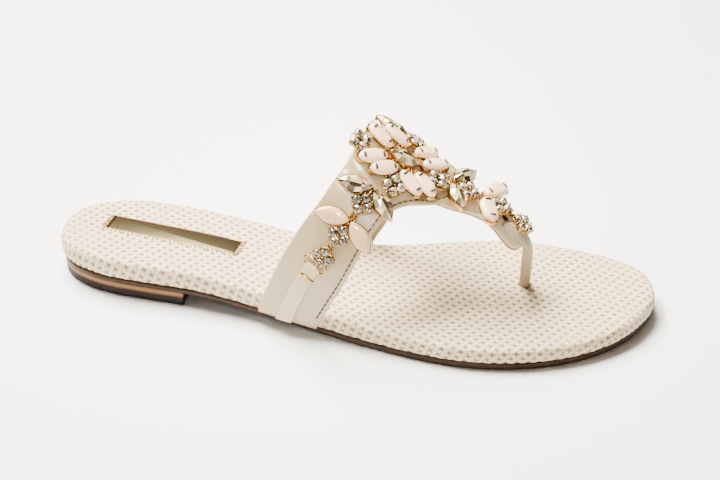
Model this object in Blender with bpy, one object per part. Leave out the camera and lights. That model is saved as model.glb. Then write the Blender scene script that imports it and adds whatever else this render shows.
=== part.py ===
"""A flat thong slide sandal for the right foot, with a jewelled ornament on its strap.

Blender 4.5, metres.  The heel's back is at x = 0 and the toe at +X, the medial side
(towards the other foot) is +Y, and the sandal stands on z = 0.  Sizes below are in
millimetres and are scaled by MM where a mesh is made.

"reach" says how far round the last a point lies, seen from the ridge of the instep:
-1 is the lateral side level with the footbed's edge, 0 the ridge, +1 the medial side.
"""
import bpy
import bmesh
import math
import numpy as np
from collections import namedtuple
from mathutils import Matrix, Vector

MM = 0.001
NAME = "thong_slide_sandal"

# ---------------------------------------------------------------- driving dimensions
LENGTH = 250.0
MIDDLE = (125.0, -3.4)       # centre of the sandal's plan box
GAP = 0.3                    # clearance between pieces that touch
HEEL_REST = 8.6              # height of the footbed's underside over the heel
BALL_REST = 3.2              # the same under the ball of the foot
SHANK_FROM, SHANK_TO = 60.0, 148.0
TOE_SPRING, SPRING_FROM = 1.4, 216.0
FOOTBED_HEEL, FOOTBED_BALL = 9.2, 6.8      # footbed thickness
OUTSOLE_HEEL, OUTSOLE_BALL = 2.2, 2.9      # outsole thickness
OUTSOLE_INSET, OUTSOLE_ROUND = 1.3, 0.5
HEEL_STACK, HEEL_BREAST, HEEL_INSET = 2.2, 59.0, 1.7
HEEL_STEP = 0.2              # each lower ring of the heel stands in by this much
FOOTBED_THINS = (40.0, 170.0)              # the footbed thins between these stations
EDGE_LEVEL = 0.45            # where the footbed's side is widest, as a share of its height

STRAP_STAND = 2.0            # outer face of the strap, outside the footbed's edge
STRAP_WALL = 1.5
TOE_STRAP_WALL = 1.1
TOE_STRAP_SINK = 0.25        # the toe strap's faces lie this far inside the band's
RIDGE_Y = 3.0
LATERAL_POWER, MEDIAL_POWER = 2.0, 2.6     # of the instep's section; 2 is an ellipse
TOE_STRAP_ARCH = 0.055       # drop of the toe strap's sides, per mm squared from its middle
TOE_STRAP_MIDDLE = 0.5
ARCH_FROM, ARCH_TO = 163.0, 190.0          # the arch grows between these stations
TUCK, TUCK_DROP = 1.1, 0.9   # the strap's ends turn in by TUCK and down by this share of the edge
TUCK_REACH = 0.10            # the reach past 1 that the turned end takes up

OVERLAY_WALL, OVERLAY_GAP = 1.2, 0.4
POST_RADIUS, POST_STOPS = 2.3, 7
SOCKET_RADIUS, SOCKET_DEPTH, SOCKET_SHIFT = 3.1, 3.9, 0.3

LABEL_LENGTH, LABEL_WIDTH, LABEL_DEPTH = 58.0, 10.2, 1.4
LABEL_CORNER = 0.6           # rounding of the slot's and the plate's corners
LABEL_CUT = 6.0              # height of the slot's cutter
LABEL_CENTRE = (48.4, 0.7)
LABEL_TURN = math.radians(-7.2)
PLATE_MARGIN, PLATE_THICKNESS = 0.5, 0.6

# ---------------------------------------------------------------- tables
# Half-widths of the footbed's plan, measured from the line through heel and second toe.
Width = namedtuple("Width", "x medial lateral")
HEEL_TIP, TOE_TIP = (0.0, 0.5), (LENGTH, 7.0)
WIDTHS = [
    Width(2, 10.0, 9.0), Width(8, 18.6, 16.8), Width(15, 22.6, 21.0), Width(26, 25.6, 24.6),
    Width(42, 25.9, 26.2), Width(62, 23.6, 27.4), Width(82, 20.9, 30.2), Width(102, 19.6, 33.8),
    Width(122, 21.2, 37.2), Width(142, 26.2, 41.2), Width(160, 32.8, 44.6), Width(178, 38.0, 46.2),
    Width(196, 39.4, 44.2), Width(212, 38.2, 39.2), Width(226, 35.2, 31.5), Width(237, 30.2, 22.0),
    Width(245, 23.0, 10.5)]

# Height of the strap's outer face along the ridge of the instep.
Ridge = namedtuple("Ridge", "x z")
RIDGE = [Ridge(60, 100), Ridge(90, 93), Ridge(110, 88), Ridge(131, 79.5), Ridge(150, 65.5), Ridge(165, 58.3),
         Ridge(175, 52.7), Ridge(189, 45.8), Ridge(194, 41.8), Ridge(197, 38.4), Ridge(199, 34),
         Ridge(200.4, 29.5)]

# Rear and front edges of the instep band at each reach; past 1 its ends turn under the footbed.
Band = namedtuple("Band", "reach rear front")
BAND = [
    Band(-1.10, 92.8, 118.4), Band(-1.05, 93.0, 118.8), Band(-1.00, 93.8, 119.6),
    Band(-0.92, 97.0, 123.8), Band(-0.82, 101.8, 129.3), Band(-0.72, 107.2, 133.8),
    Band(-0.63, 112.2, 137.2), Band(-0.54, 117.3, 140.5), Band(-0.45, 121.3, 143.8),
    Band(-0.37, 124.6, 147.8), Band(-0.30, 126.7, 153.2), Band(-0.24, 128.2, 160.6),
    Band(-0.17, 129.8, 166.2), Band(-0.08, 131.0, 168.6), Band(0.02, 131.8, 168.8),
    Band(0.12, 131.6, 166.6), Band(0.20, 130.6, 161.8), Band(0.27, 129.6, 157.4),
    Band(0.36, 128.2, 153.2), Band(0.46, 126.6, 150.2), Band(0.56, 124.8, 147.6),
    Band(0.66, 121.9, 144.6), Band(0.77, 118.6, 140.9), Band(0.87, 111.8, 136.9),
    Band(0.94, 104.4, 133.4), Band(1.00, 96.0, 128.2), Band(1.05, 94.8, 127.2),
    Band(1.10, 94.4, 126.8)]
BAND_COLUMNS = 6

# The toe strap, from inside the band's tab to the nose over the toe post.
ToeStrap = namedtuple("ToeStrap", "x lateral medial")
TOE_STRAP = [
    ToeStrap(155, -11.5, 13.0), ToeStrap(162, -12.8, 14.0), ToeStrap(167, -11.3, 12.3),
    ToeStrap(171, -9.5, 10.4), ToeStrap(175.5, -7.7, 8.6), ToeStrap(180.5, -6.8, 7.6),
    ToeStrap(185, -7.5, 8.0), ToeStrap(190, -8.9, 9.2), ToeStrap(193.2, -8.9, 9.2),
    ToeStrap(195.4, -7.7, 8.1), ToeStrap(196.9, -5.6, 6.2), ToeStrap(197.7, -3.6, 4.2)]
TOE_STRAP_COLUMNS = 6

# Narrow straps over the band, one each side, up to the ornament's loops.
Overlay = namedtuple("Overlay", "reach rear front")
OVERLAYS = {
    "lateral": [Overlay(-1.05, 101.3, 108.4), Overlay(-1.00, 102.1, 109.3), Overlay(-0.92, 106.0, 113.0),
                Overlay(-0.84, 110.3, 116.9), Overlay(-0.795, 113.0, 120.1)],
    "medial": [Overlay(1.05, 105.7, 114.2), Overlay(1.00, 106.5, 115.0), Overlay(0.96, 111.4, 119.2),
               Overlay(0.92, 116.4, 124.0), Overlay(0.887, 119.6, 127.3)]}
OVERLAY_COLUMNS = 2

# Fittings: (x, reach, heading in degrees)
Seat = namedtuple("Seat", "x reach heading")
LOOPS = {"lateral": Seat(117.5, -0.783, -110), "medial": Seat(124.8, 0.883, 110)}
STAPLES = {"lateral": Seat(114.9, -0.823, -111), "medial": Seat(122.6, 0.905, 111)}
LOOP_SIZE, LOOP_CORNER, LOOP_WIRE, LOOP_HEIGHT = (3.6, 9.8), 1.0, 0.55, 2.5
STAPLE_SIZE, STAPLE_HEIGHT = (1.0, 6.0, 0.6), 2.1

# The ornament's stones.  A sprig is a cluster between two navettes that spread from a point.
Stone = namedtuple("Stone", "kind x reach heading")
CENTRE_STONES = [
    Stone("crystal_small", 145.8, -0.092, 19),
    Stone("pink_small", 135.0, -0.222, 42), Stone("pink_small", 139.6, -0.238, 45),
    Stone("pink_small", 135.6, -0.082, -13), Stone("pink_small", 140.6, 0.008, -8),
    Stone("pink_small", 150.5, -0.215, -24), Stone("pink_small", 156.2, -0.18, -30),
    Stone("pink_small", 152.8, 0.04, 46), Stone("pink_small", 157.8, -0.012, 42),
    Stone("cluster", 129.6, -0.18, 0), Stone("cluster", 144.6, -0.283, -25),
    Stone("cluster", 147.4, 0.128, 25), Stone("cluster", 160.4, -0.105, 8)]
CLUSTER_LINKS = [(1, 9), (2, 10), (4, 11), (6, 12)]      # a cluster hangs on from a pink stone
# A sprig's point, the way it heads, and how far out its navettes and its cluster lie.
Sprig = namedtuple("Sprig", "arm kind x reach heading spread navettes cluster")
SPRIGS = [
    Sprig("lateral", "crystal", 137.6, -0.363, -90, 66, 7.6, 7.8),
    Sprig("lateral", "pink", 131.4, -0.545, -99, 68, 7.6, 7.8),
    Sprig("medial", "crystal", 143.2, 0.27, 92, 66, 7.6, 7.8),
    Sprig("medial", "pink", 138.3, 0.592, 95, 68, 7.6, 7.8),
    Sprig("toe", "crystal", 165.0, -0.062, 2, 58, 8.2, 8.1),
    Sprig("toe", "pink", 178.0, -0.043, -1, 61, 8.0, 8.2)]
END_CLUSTERS = {"lateral": Stone("cluster", 121.8, -0.723, -100),
                "medial": Stone("cluster", 128.4, 0.831, 100),
                "toe": Stone("cluster", 194.0, -0.055, 45)}
CLUSTER_TURN = 45            # a sprig's cluster points a corner at it
Placed = namedtuple("Placed", "kind frame")

Cut = namedtuple("Cut", "length width fullness")
CUTS = {"crystal": Cut(14.0, 7.0, 1.7), "crystal_small": Cut(12.4, 6.0, 1.7),
        "pink": Cut(14.2, 7.4, 2.3), "pink_small": Cut(12.0, 5.4, 2.3)}
SETTING_BASE, SETTING_HEIGHT, SETTING_RIM = 1.0, 1.4, 0.35
STONE_HEIGHT = 2.4
STONE_STEPS = [(0.0, 0.90), (0.3, 1.0), (0.75, 0.80), (1.0, 0.50)]     # shares of height and of outline
CLUSTER_SIDE, RHINESTONE_RADIUS, RHINESTONE_HEIGHT = 7.6, 2.1, 1.8
RHINESTONE_TABLE = 0.52      # width of its flat top, as a share of its girdle
CLUSTER_MARGIN = 0.6         # the setting's plate under a cluster is wider by this
LINK_WIDTH, LINK_HEIGHT = 2.2, 0.8
TIP_SHARPNESS = 0.9          # power of a navette's outline; lower is blunter at the tips

POST_LINE = [(196.0, 6.2, 6.6), (196.3, 5.6, 10.4), (196.9, 2.8, 22.0), (194.4, 0.2, 35.4)]


# ---------------------------------------------------------------- curves and levels
def curve_through(xs, ys, x):
    """Smooth curve through the points (xs, ys), read at x."""
    xs = np.asarray(xs, float)
    ys = np.asarray(ys, float)
    x = np.asarray(x, float)
    step = np.diff(xs)
    slope = np.diff(ys) / step
    tangent = np.empty(len(xs))
    tangent[1:-1] = (step[:-1] * slope[1:] + step[1:] * slope[:-1]) / (step[:-1] + step[1:])
    tangent[0] = 1.5 * slope[0] - 0.5 * tangent[1]
    tangent[-1] = 1.5 * slope[-1] - 0.5 * tangent[-2]
    i = np.clip(np.searchsorted(xs, x) - 1, 0, len(xs) - 2)
    t = (x - xs[i]) / step[i]
    return ((2 * t**3 - 3 * t**2 + 1) * ys[i] + (t**3 - 2 * t**2 + t) * step[i] * tangent[i]
            + (3 * t**2 - 2 * t**3) * ys[i + 1] + (t**3 - t**2) * step[i] * tangent[i + 1])


def blend(start, end, x):
    """0 before start, 1 after end, smooth between."""
    t = np.clip((np.asarray(x, float) - start) / (end - start), 0, 1)
    return t * t * (3 - 2 * t)


def underside(x):
    """Height of the footbed's underside."""
    spring = TOE_SPRING * np.clip((np.asarray(x, float) - SPRING_FROM) / (LENGTH - SPRING_FROM), 0, 1)**2
    return HEEL_REST + (BALL_REST - HEEL_REST) * blend(SHANK_FROM, SHANK_TO, x) + spring


def footbed_thickness(x):
    return FOOTBED_HEEL + (FOOTBED_BALL - FOOTBED_HEEL) * blend(*FOOTBED_THINS, x)


def outsole_thickness(x):
    return OUTSOLE_HEEL + (OUTSOLE_BALL - OUTSOLE_HEEL) * blend(SHANK_FROM, SHANK_TO, x)


def edge_height(x):
    return underside(x) + EDGE_LEVEL * footbed_thickness(x)


def half_width(x, side):
    """Plan half-width at x; side is +1 for medial and -1 for lateral."""
    column = [row.medial if side > 0 else row.lateral for row in WIDTHS]
    return curve_through([row.x for row in WIDTHS], column, x)


# ---------------------------------------------------------------- the sole's plan
def plan_ring(per_side, inset):
    """The plan as a closed ring from the heel tip along the medial side and back.

    Point i and point n - i lie across from each other, which lets a cap bridge them.
    """
    half = [(HEEL_TIP[0], HEEL_TIP[1], HEEL_TIP[1])]
    half += [(row.x, row.medial, -row.lateral) for row in WIDTHS]
    half += [(TOE_TIP[0], TOE_TIP[1], TOE_TIP[1])]
    half = np.array(half, float)
    chord = np.hypot(np.diff(half[:, 0]), np.diff((half[:, 1] - half[:, 2]) / 2))
    knots = np.concatenate([[0], np.cumsum(np.sqrt(chord))])
    total = knots[-1]
    around = np.vstack([half[:, :2], half[-2:0:-1, [0, 2]]])
    around_knots = np.concatenate([knots, 2 * total - knots[-2:0:-1]])
    padded = np.vstack([around[-4:], around, around[:5]])
    padded_knots = np.concatenate([around_knots[-4:] - 2 * total, around_knots, around_knots[:5] + 2 * total])
    t = np.linspace(0, 2 * total, 2 * per_side, endpoint=False)
    ring = np.stack([curve_through(padded_knots, padded[:, k], t) for k in (0, 1)], 1)
    along = np.roll(ring, -1, 0) - np.roll(ring, 1, 0)
    outward = np.stack([-along[:, 1], along[:, 0]], 1)
    outward /= np.linalg.norm(outward, axis=1)[:, None]
    return ring - inset * outward


def level_ring(plan, height):
    """Lift a plan to the heights that a function of x gives."""
    return [(x, y, float(height(x))) for x, y in plan]


# ---------------------------------------------------------------- the last's surface
def section(x, side):
    """The instep's section at x on one side: its half-width, base, rise and power."""
    width = float(half_width(x, side)) + STRAP_STAND - side * RIDGE_Y
    base = float(edge_height(x))
    rise = float(curve_through([row.x for row in RIDGE], [row.z for row in RIDGE], x)) - base
    return width, base, rise, MEDIAL_POWER if side > 0 else LATERAL_POWER


def last_point(x, reach):
    """Point on the strap's outer face."""
    side = 1 if reach > 0 else -1
    width, base, rise, power = section(x, side)
    turn = min(abs(reach), 1.0) * math.pi / 2
    y = width * math.sin(turn)**(2 / power)
    z = base + rise * max(math.cos(turn), 0.0)**(2 / power)
    under = max(abs(reach) - 1.0, 0.0) / TUCK_REACH
    drop = (base - float(underside(x))) * TUCK_DROP
    return Vector((x, RIDGE_Y + side * (y - TUCK * under**2), z - drop * under))


def last_normal(x, reach):
    """Outward normal of the strap's outer face."""
    dx, dr = 0.5, 0.01
    along = last_point(x + dx, reach) - last_point(x - dx, reach)
    across = last_point(x, reach + dr) - last_point(x, reach - dr)
    return along.cross(across).normalized()


def seat_matrix(seat, height):
    """Frame on the strap: +X along the heading, +Z out of the strap, at a height above it."""
    point = last_point(seat.x, seat.reach)
    normal = last_normal(seat.x, seat.reach)
    toe_ward = last_point(seat.x + 0.5, seat.reach) - last_point(seat.x - 0.5, seat.reach)
    toe_ward = (toe_ward - normal * toe_ward.dot(normal)).normalized()
    heading = Matrix.Rotation(math.radians(seat.heading), 3, normal) @ toe_ward
    side = normal.cross(heading)
    frame = Matrix((heading, side, normal)).transposed().to_4x4()
    frame.translation = (point + normal * height) * MM
    return frame


def reach_at(x, y):
    """The reach at which the last's surface passes over a plan point."""
    side = 1 if y > RIDGE_Y else -1
    width, _, _, power = section(x, side)
    share = min(abs(y - RIDGE_Y) / width, 1.0)
    return side * math.asin(share**(power / 2)) * 2 / math.pi


# ---------------------------------------------------------------- making objects
def start():
    for item in list(bpy.data.objects):
        bpy.data.objects.remove(item, do_unlink=True)
    collections = []
    for name in (NAME, "cutters"):
        made = bpy.data.collections.new(name)
        bpy.context.scene.collection.children.link(made)
        collections.append(made)
    return collections


def material(name, colour, roughness, metallic=0.0):
    made = bpy.data.materials.new(name)
    made.use_nodes = True
    shader = made.node_tree.nodes["Principled BSDF"]
    shader.inputs["Base Color"].default_value = (*colour, 1.0)
    shader.inputs["Roughness"].default_value = roughness
    shader.inputs["Metallic"].default_value = metallic
    return made


def add_object(name, mesh, finish, collection):
    item = bpy.data.objects.new(name, mesh)
    collection.objects.link(item)
    if finish is not None and not mesh.materials:
        mesh.materials.append(finish)
    return item


def hide_cutter(item):
    item.hide_render = True
    item.display_type = "WIRE"


def mesh_from(name, points, faces, smooth=True, sharp=50):
    """A mesh in metres from points in millimetres, with its faces turned outward."""
    mesh = bpy.data.meshes.new(name)
    shape = bmesh.new()
    verts = [shape.verts.new([c * MM for c in p]) for p in points]
    for face in faces:
        shape.faces.new([verts[i] for i in face])
    bmesh.ops.recalc_face_normals(shape, faces=shape.faces)
    shape.to_mesh(mesh)
    shape.free()
    if smooth:
        mesh.shade_smooth()
        mesh.set_sharp_from_angle(angle=math.radians(sharp))
    return mesh


def stack_of_rings(name, rings, cap_rows):
    """A closed body through rings, capped by strips that bridge each ring's two sides."""
    count = len(rings[0])
    points = [p for ring in rings for p in ring]
    faces = []
    for r in range(len(rings) - 1):
        for i in range(count):
            j = (i + 1) % count
            faces.append((r * count + i, r * count + j, (r + 1) * count + j, (r + 1) * count + i))
    for r in (0, len(rings) - 1):
        faces += bridge_cap(points, [r * count + i for i in range(count)], cap_rows)
    return mesh_from(name, points, faces)


def bridge_cap(points, ring, rows):
    """Faces across a ring, with inner points that keep each station's own height."""
    half = len(ring) // 2
    stations = [[ring[0]]]
    for i in range(1, half):
        a, b = np.array(points[ring[i]]), np.array(points[ring[-i]])
        station = [ring[i]]
        for k in range(1, rows):
            station.append(len(points))
            points.append(tuple(a + (b - a) * k / rows))
        station.append(ring[-i])
        stations.append(station)
    stations.append([ring[half]])
    faces = []
    for one, two in zip(stations[:-1], stations[1:]):
        if len(one) == 1:
            faces += [(one[0], two[k], two[k + 1]) for k in range(len(two) - 1)]
        elif len(two) == 1:
            faces += [(two[0], one[k + 1], one[k]) for k in range(len(one) - 1)]
        else:
            faces += [(one[k], two[k], two[k + 1], one[k + 1]) for k in range(len(one) - 1)]
    return faces


def wall_between(name, outer, inner):
    """A closed wall from two grids of points with equal rows and columns."""
    rows, columns = len(outer), len(outer[0])
    points = [p for row in outer for p in row] + [p for row in inner for p in row]
    shift = rows * columns

    def at(r, c, layer):
        return layer * shift + r * columns + c

    faces = []
    for r in range(rows - 1):
        for c in range(columns - 1):
            faces.append((at(r, c, 0), at(r, c + 1, 0), at(r + 1, c + 1, 0), at(r + 1, c, 0)))
            faces.append((at(r, c, 1), at(r + 1, c, 1), at(r + 1, c + 1, 1), at(r, c + 1, 1)))
    rim = [(0, c) for c in range(columns)] + [(r, columns - 1) for r in range(1, rows)]
    rim += [(rows - 1, c) for c in range(columns - 2, -1, -1)] + [(r, 0) for r in range(rows - 2, 0, -1)]
    for a, b in zip(rim, rim[1:] + rim[:1]):
        faces.append((at(*a, 0), at(*a, 1), at(*b, 1), at(*b, 0)))
    return mesh_from(name, points, faces)


def strap_grid(table, columns, depth):
    """Points at a depth below (or height above) the strap's outer face, a row for each reach."""
    grid = []
    for row in table:
        line = []
        for c in range(columns + 1):
            x = row.rear + (row.front - row.rear) * c / columns
            line.append(last_point(x, row.reach) - last_normal(x, row.reach) * depth)
        grid.append(line)
    return grid


def box_mesh(name, size):
    """A box of a size in millimetres about its centre."""
    shape = bmesh.new()
    bmesh.ops.create_cube(shape, size=1.0, matrix=Matrix.Diagonal((*[s * MM for s in size], 1.0)))
    mesh = bpy.data.meshes.new(name)
    shape.to_mesh(mesh)
    shape.free()
    return mesh


def rounded_rectangle(length, width, radius, steps):
    corners = []
    for quarter, (sx, sy) in enumerate(((1, 1), (-1, 1), (-1, -1), (1, -1))):
        for k in range(steps + 1):
            turn = math.pi / 2 * (quarter + k / steps)
            corners.append((sx * (length / 2 - radius) + radius * math.cos(turn),
                            sy * (width / 2 - radius) + radius * math.sin(turn)))
    return corners


def slot_mesh(name, length, width, height, corner_steps=3):
    """A bar with slightly rounded corners, standing on its lower face's centre."""
    outline = rounded_rectangle(length, width, LABEL_CORNER, corner_steps)
    count = len(outline)
    points = [(x, y, z) for z in (0.0, height) for x, y in outline]
    faces = [(i, (i + 1) % count, count + (i + 1) % count, count + i) for i in range(count)]
    faces += [tuple(range(count)), tuple(range(count, 2 * count))]
    return mesh_from(name, points, faces)


def subtract(item, cutter):
    cut = item.modifiers.new("cut_" + cutter.name, "BOOLEAN")
    cut.operation = "DIFFERENCE"
    cut.object = cutter


def join(item, other):
    joint = item.modifiers.new("join_" + other.name, "BOOLEAN")
    joint.operation = "UNION"
    joint.object = other


def centre(*collections):
    """Parent everything to an empty, so that the world's origin is under the sandal's middle."""
    frame = bpy.data.objects.new("sandal_frame", None)
    collections[0].objects.link(frame)
    for collection in collections:
        for item in collection.objects:
            if item is not frame:
                item.parent = frame
    frame.location = (-MIDDLE[0] * MM, -MIDDLE[1] * MM, 0.0)


# ---------------------------------------------------------------- the sole
SOLE_STATIONS = 36

# How the footbed's side is rounded: inset from its plan, and share of its thickness.
FOOTBED_SIDE = [(3.4, 0.0), (1.4, 0.06), (0.3, 0.24), (0.0, EDGE_LEVEL), (0.5, 0.72), (1.8, 0.93), (4.2, 1.0)]


def footbed(parts, cutters, finish):
    rings = []
    for inset, share in FOOTBED_SIDE:
        rings.append(level_ring(plan_ring(SOLE_STATIONS, inset),
                                lambda x, s=share: underside(x) + s * footbed_thickness(x)))
    item = add_object("footbed", stack_of_rings("footbed", rings, 4), finish, parts)

    slot_body = slot_mesh("label_slot_cutter", LABEL_LENGTH, LABEL_WIDTH, LABEL_CUT)
    slot = add_object("label_slot_cutter", slot_body, None, cutters)
    floor = label_floor()
    slot.location = (LABEL_CENTRE[0] * MM, LABEL_CENTRE[1] * MM, floor * MM)
    slot.rotation_euler = (0.0, 0.0, LABEL_TURN)
    socket = add_object("post_socket_cutter", bpy.data.meshes.new("post_socket_cutter"), None, cutters)
    shape = bmesh.new()
    bmesh.ops.create_cone(shape, cap_ends=True, segments=12, radius1=SOCKET_RADIUS * MM,
                          radius2=SOCKET_RADIUS * MM, depth=2 * SOCKET_DEPTH * MM)
    shape.to_mesh(socket.data)
    shape.free()
    base = POST_LINE[1]
    socket.location = (base[0] * MM, (base[1] + SOCKET_SHIFT) * MM, top_height(base[0]) * MM)
    for cutter in (slot, socket):
        hide_cutter(cutter)
        subtract(item, cutter)
    return item


def top_height(x):
    return float(underside(x) + footbed_thickness(x))


def label_floor():
    return top_height(LABEL_CENTRE[0]) - LABEL_DEPTH


def label_plate(parts, finish):
    mesh = slot_mesh("label_plate", LABEL_LENGTH - 2 * PLATE_MARGIN, LABEL_WIDTH - 2 * PLATE_MARGIN,
                     PLATE_THICKNESS)
    item = add_object("label_plate", mesh, finish, parts)
    item.location = (LABEL_CENTRE[0] * MM, LABEL_CENTRE[1] * MM, (label_floor() + GAP) * MM)
    item.rotation_euler = (0.0, 0.0, LABEL_TURN)


def outsole(parts, finish):
    rings = []
    for inset, share in ((OUTSOLE_INSET + OUTSOLE_ROUND, 0.0), (OUTSOLE_INSET, 0.3), (OUTSOLE_INSET, 1.0)):
        rings.append(level_ring(plan_ring(SOLE_STATIONS, inset),
                                lambda x, s=share: underside(x) - GAP - (1 - s) * outsole_thickness(x)))
    add_object("outsole", stack_of_rings("outsole", rings, 2), finish, parts)


def heel_layer(name, parts, finish, low, high, inset_low, inset_high):
    """A flat layer of the heel: the plan up to the breast, and a straight breast."""
    rings = []
    for inset, z in ((inset_low, low), (inset_high, high)):
        plan = plan_ring(SOLE_STATIONS, inset)
        half = len(plan) // 2
        medial = [p for p in plan[1:half] if p[0] < HEEL_BREAST - 2]
        lateral = [p for p in plan[:half:-1] if p[0] < HEEL_BREAST - 2]
        cross = [(HEEL_BREAST, side * (float(half_width(HEEL_BREAST, side)) - inset)) for side in (1, -1)]
        ring = [plan[0], *medial, cross[0], (HEEL_BREAST, 0.0), cross[1], *lateral[::-1]]
        rings.append([(x, y, z) for x, y in ring])
    add_object(name, stack_of_rings(name, rings, 2), finish, parts)


def heel(parts, stack_finish, lift_finish):
    stack_top = HEEL_REST - GAP - OUTSOLE_HEEL - GAP
    stack_base = stack_top - HEEL_STACK
    lift_top = stack_base - GAP
    heel_layer("heel_stack", parts, stack_finish, stack_base, stack_top, HEEL_INSET + HEEL_STEP, HEEL_INSET)
    heel_layer("heel_top_lift", parts, lift_finish, 0.0, lift_top, HEEL_INSET + 3 * HEEL_STEP,
               HEEL_INSET + HEEL_STEP)


# ---------------------------------------------------------------- the upper
def upper(parts, cutters, finish):
    """The instep band with its tab, joined with the toe strap that comes out from under it."""
    item = add_object("upper", wall_between("upper", strap_grid(BAND, BAND_COLUMNS, 0.0),
                                            strap_grid(BAND, BAND_COLUMNS, STRAP_WALL)), finish, parts)
    grids = []
    for depth in (TOE_STRAP_SINK, TOE_STRAP_SINK + TOE_STRAP_WALL):
        grid = []
        for row in TOE_STRAP:
            line = []
            for c in range(TOE_STRAP_COLUMNS + 1):
                y = row.lateral + (row.medial - row.lateral) * c / TOE_STRAP_COLUMNS
                reach = reach_at(row.x, y)
                drop = TOE_STRAP_ARCH * float(blend(ARCH_FROM, ARCH_TO, row.x)) * (y - TOE_STRAP_MIDDLE)**2
                point = last_point(row.x, reach) - last_normal(row.x, reach) * depth
                line.append(point - Vector((0.0, 0.0, drop)))
            grid.append(line)
        grids.append(grid)
    strap = add_object("toe_strap_join", wall_between("toe_strap_join", *grids), finish, cutters)
    hide_cutter(strap)
    join(item, strap)


def toe_post(parts, finish):
    curve = bpy.data.curves.new("toe_post", "CURVE")
    curve.dimensions = "3D"
    curve.bevel_depth = POST_RADIUS * MM
    curve.bevel_resolution = 2
    curve.use_fill_caps = True
    line = curve.splines.new("POLY")
    stops = np.linspace(0, 1, POST_STOPS)
    reached = np.linspace(0, 1, len(POST_LINE))
    line.points.add(len(stops) - 1)
    for point, t in zip(line.points, stops):
        place = [float(curve_through(reached, [p[k] for p in POST_LINE], t)) * MM for k in range(3)]
        point.co = (*place, 1.0)
    item = bpy.data.objects.new("toe_post", curve)
    parts.objects.link(item)
    curve.materials.append(finish)


def overlay_straps(parts, finish):
    for side, table in OVERLAYS.items():
        name = "overlay_strap_" + side
        outer = strap_grid(table, OVERLAY_COLUMNS, -OVERLAY_GAP - OVERLAY_WALL)
        inner = strap_grid(table, OVERLAY_COLUMNS, -OVERLAY_GAP)
        add_object(name, wall_between(name, outer, inner), finish, parts)


# ---------------------------------------------------------------- gold fittings
def loops(parts, finish):
    """The wire rectangles that tie the ornament's ends to the overlay straps."""
    for side, seat in LOOPS.items():
        curve = bpy.data.curves.new("loop_" + side, "CURVE")
        curve.dimensions = "3D"
        curve.bevel_depth = LOOP_WIRE * MM
        curve.bevel_resolution = 1
        wire = curve.splines.new("POLY")
        wire.use_cyclic_u = True
        corners = rounded_rectangle(*LOOP_SIZE, LOOP_CORNER, 2)
        wire.points.add(len(corners) - 1)
        for point, (x, y) in zip(wire.points, corners):
            point.co = (x * MM, y * MM, 0.0, 1.0)
        curve.materials.append(finish)
        item = bpy.data.objects.new("loop_" + side, curve)
        parts.objects.link(item)
        item.matrix_world = seat_matrix(seat, LOOP_HEIGHT)


def staples(parts, finish):
    for side, seat in STAPLES.items():
        item = add_object("staple_" + side, box_mesh("staple_" + side, STAPLE_SIZE), finish, parts)
        item.matrix_world = seat_matrix(seat, STAPLE_HEIGHT)


# ---------------------------------------------------------------- the ornament
def navette_outline(cut, margin, points=12):
    """A pointed oval: its half-width falls off towards the tips by the cut's fullness."""
    outline = []
    for k in range(points):
        turn = 2 * math.pi * k / points
        along = math.cos(turn)
        across = (1 - abs(along)**cut.fullness)**TIP_SHARPNESS * math.copysign(1, math.sin(turn))
        if k in (0, points // 2):
            across = 0.0
        outline.append(((cut.length / 2 + margin) * along, (cut.width / 2 + margin) * across))
    return outline


def prism(name, levels):
    """A closed body through outlines at heights: a list of (outline, z)."""
    count = len(levels[0][0])
    points = [(x, y, z) for outline, z in levels for x, y in outline]
    faces = [tuple(range(count)), tuple(range(len(points) - count, len(points)))]
    for r in range(len(levels) - 1):
        for i in range(count):
            j = (i + 1) % count
            faces.append((r * count + i, r * count + j, (r + 1) * count + j, (r + 1) * count + i))
    return mesh_from(name, points, faces, sharp=25)


def stone_mesh(kind):
    """A stone on its girdle's plane: a low pavilion, a crown and a flat or domed top."""
    cut = CUTS[kind]
    levels = []
    for height, share in STONE_STEPS:
        outline = [(x * share, y * share) for x, y in navette_outline(cut, 0.0)]
        levels.append((outline, height * STONE_HEIGHT))
    return prism(kind, levels)


def cluster_mesh(cutters):
    """Four round stones in a square, fused along their girdles."""
    offset = CLUSTER_SIDE / 4
    stones = []
    for sx, sy in ((1, 1), (-1, 1), (-1, -1), (1, -1)):
        shape = bmesh.new()
        place = Matrix.Translation(Vector((sx * offset, sy * offset, RHINESTONE_HEIGHT / 2)) * MM)
        spin = Matrix.Rotation(math.radians(22.5), 4, "Z")
        bmesh.ops.create_cone(shape, cap_ends=True, segments=8, radius1=RHINESTONE_RADIUS * MM,
                              radius2=RHINESTONE_RADIUS * RHINESTONE_TABLE * MM,
                              depth=RHINESTONE_HEIGHT * MM, matrix=place @ spin)
        part = bpy.data.meshes.new("rhinestone")
        shape.to_mesh(part)
        shape.free()
        stones.append(part)
    return united("cluster", stones, cutters)


def united(name, meshes, cutters, places=None):
    """One closed mesh: the union of meshes, each at its place."""
    places = places or [Matrix.Identity(4)] * len(meshes)
    base = add_object(name + "_base", meshes[0].copy(), None, cutters)
    base.matrix_world = places[0]
    others = []
    for k, (mesh, place) in enumerate(zip(meshes[1:], places[1:])):
        other = add_object("%s_piece_%d" % (name, k), mesh, None, cutters)
        other.matrix_world = place
        join(base, other)
        others.append(other)
    bpy.context.view_layer.update()
    whole = bpy.data.meshes.new_from_object(base.evaluated_get(bpy.context.evaluated_depsgraph_get()))
    whole.transform(base.matrix_world)
    whole.name = name
    for item in (base, *others):
        bpy.data.objects.remove(item, do_unlink=True)
    return whole


def on_strap(stone):
    """A stone with its frame on the strap's outer face."""
    return Placed(stone.kind, seat_matrix(stone, 0.0))


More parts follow.
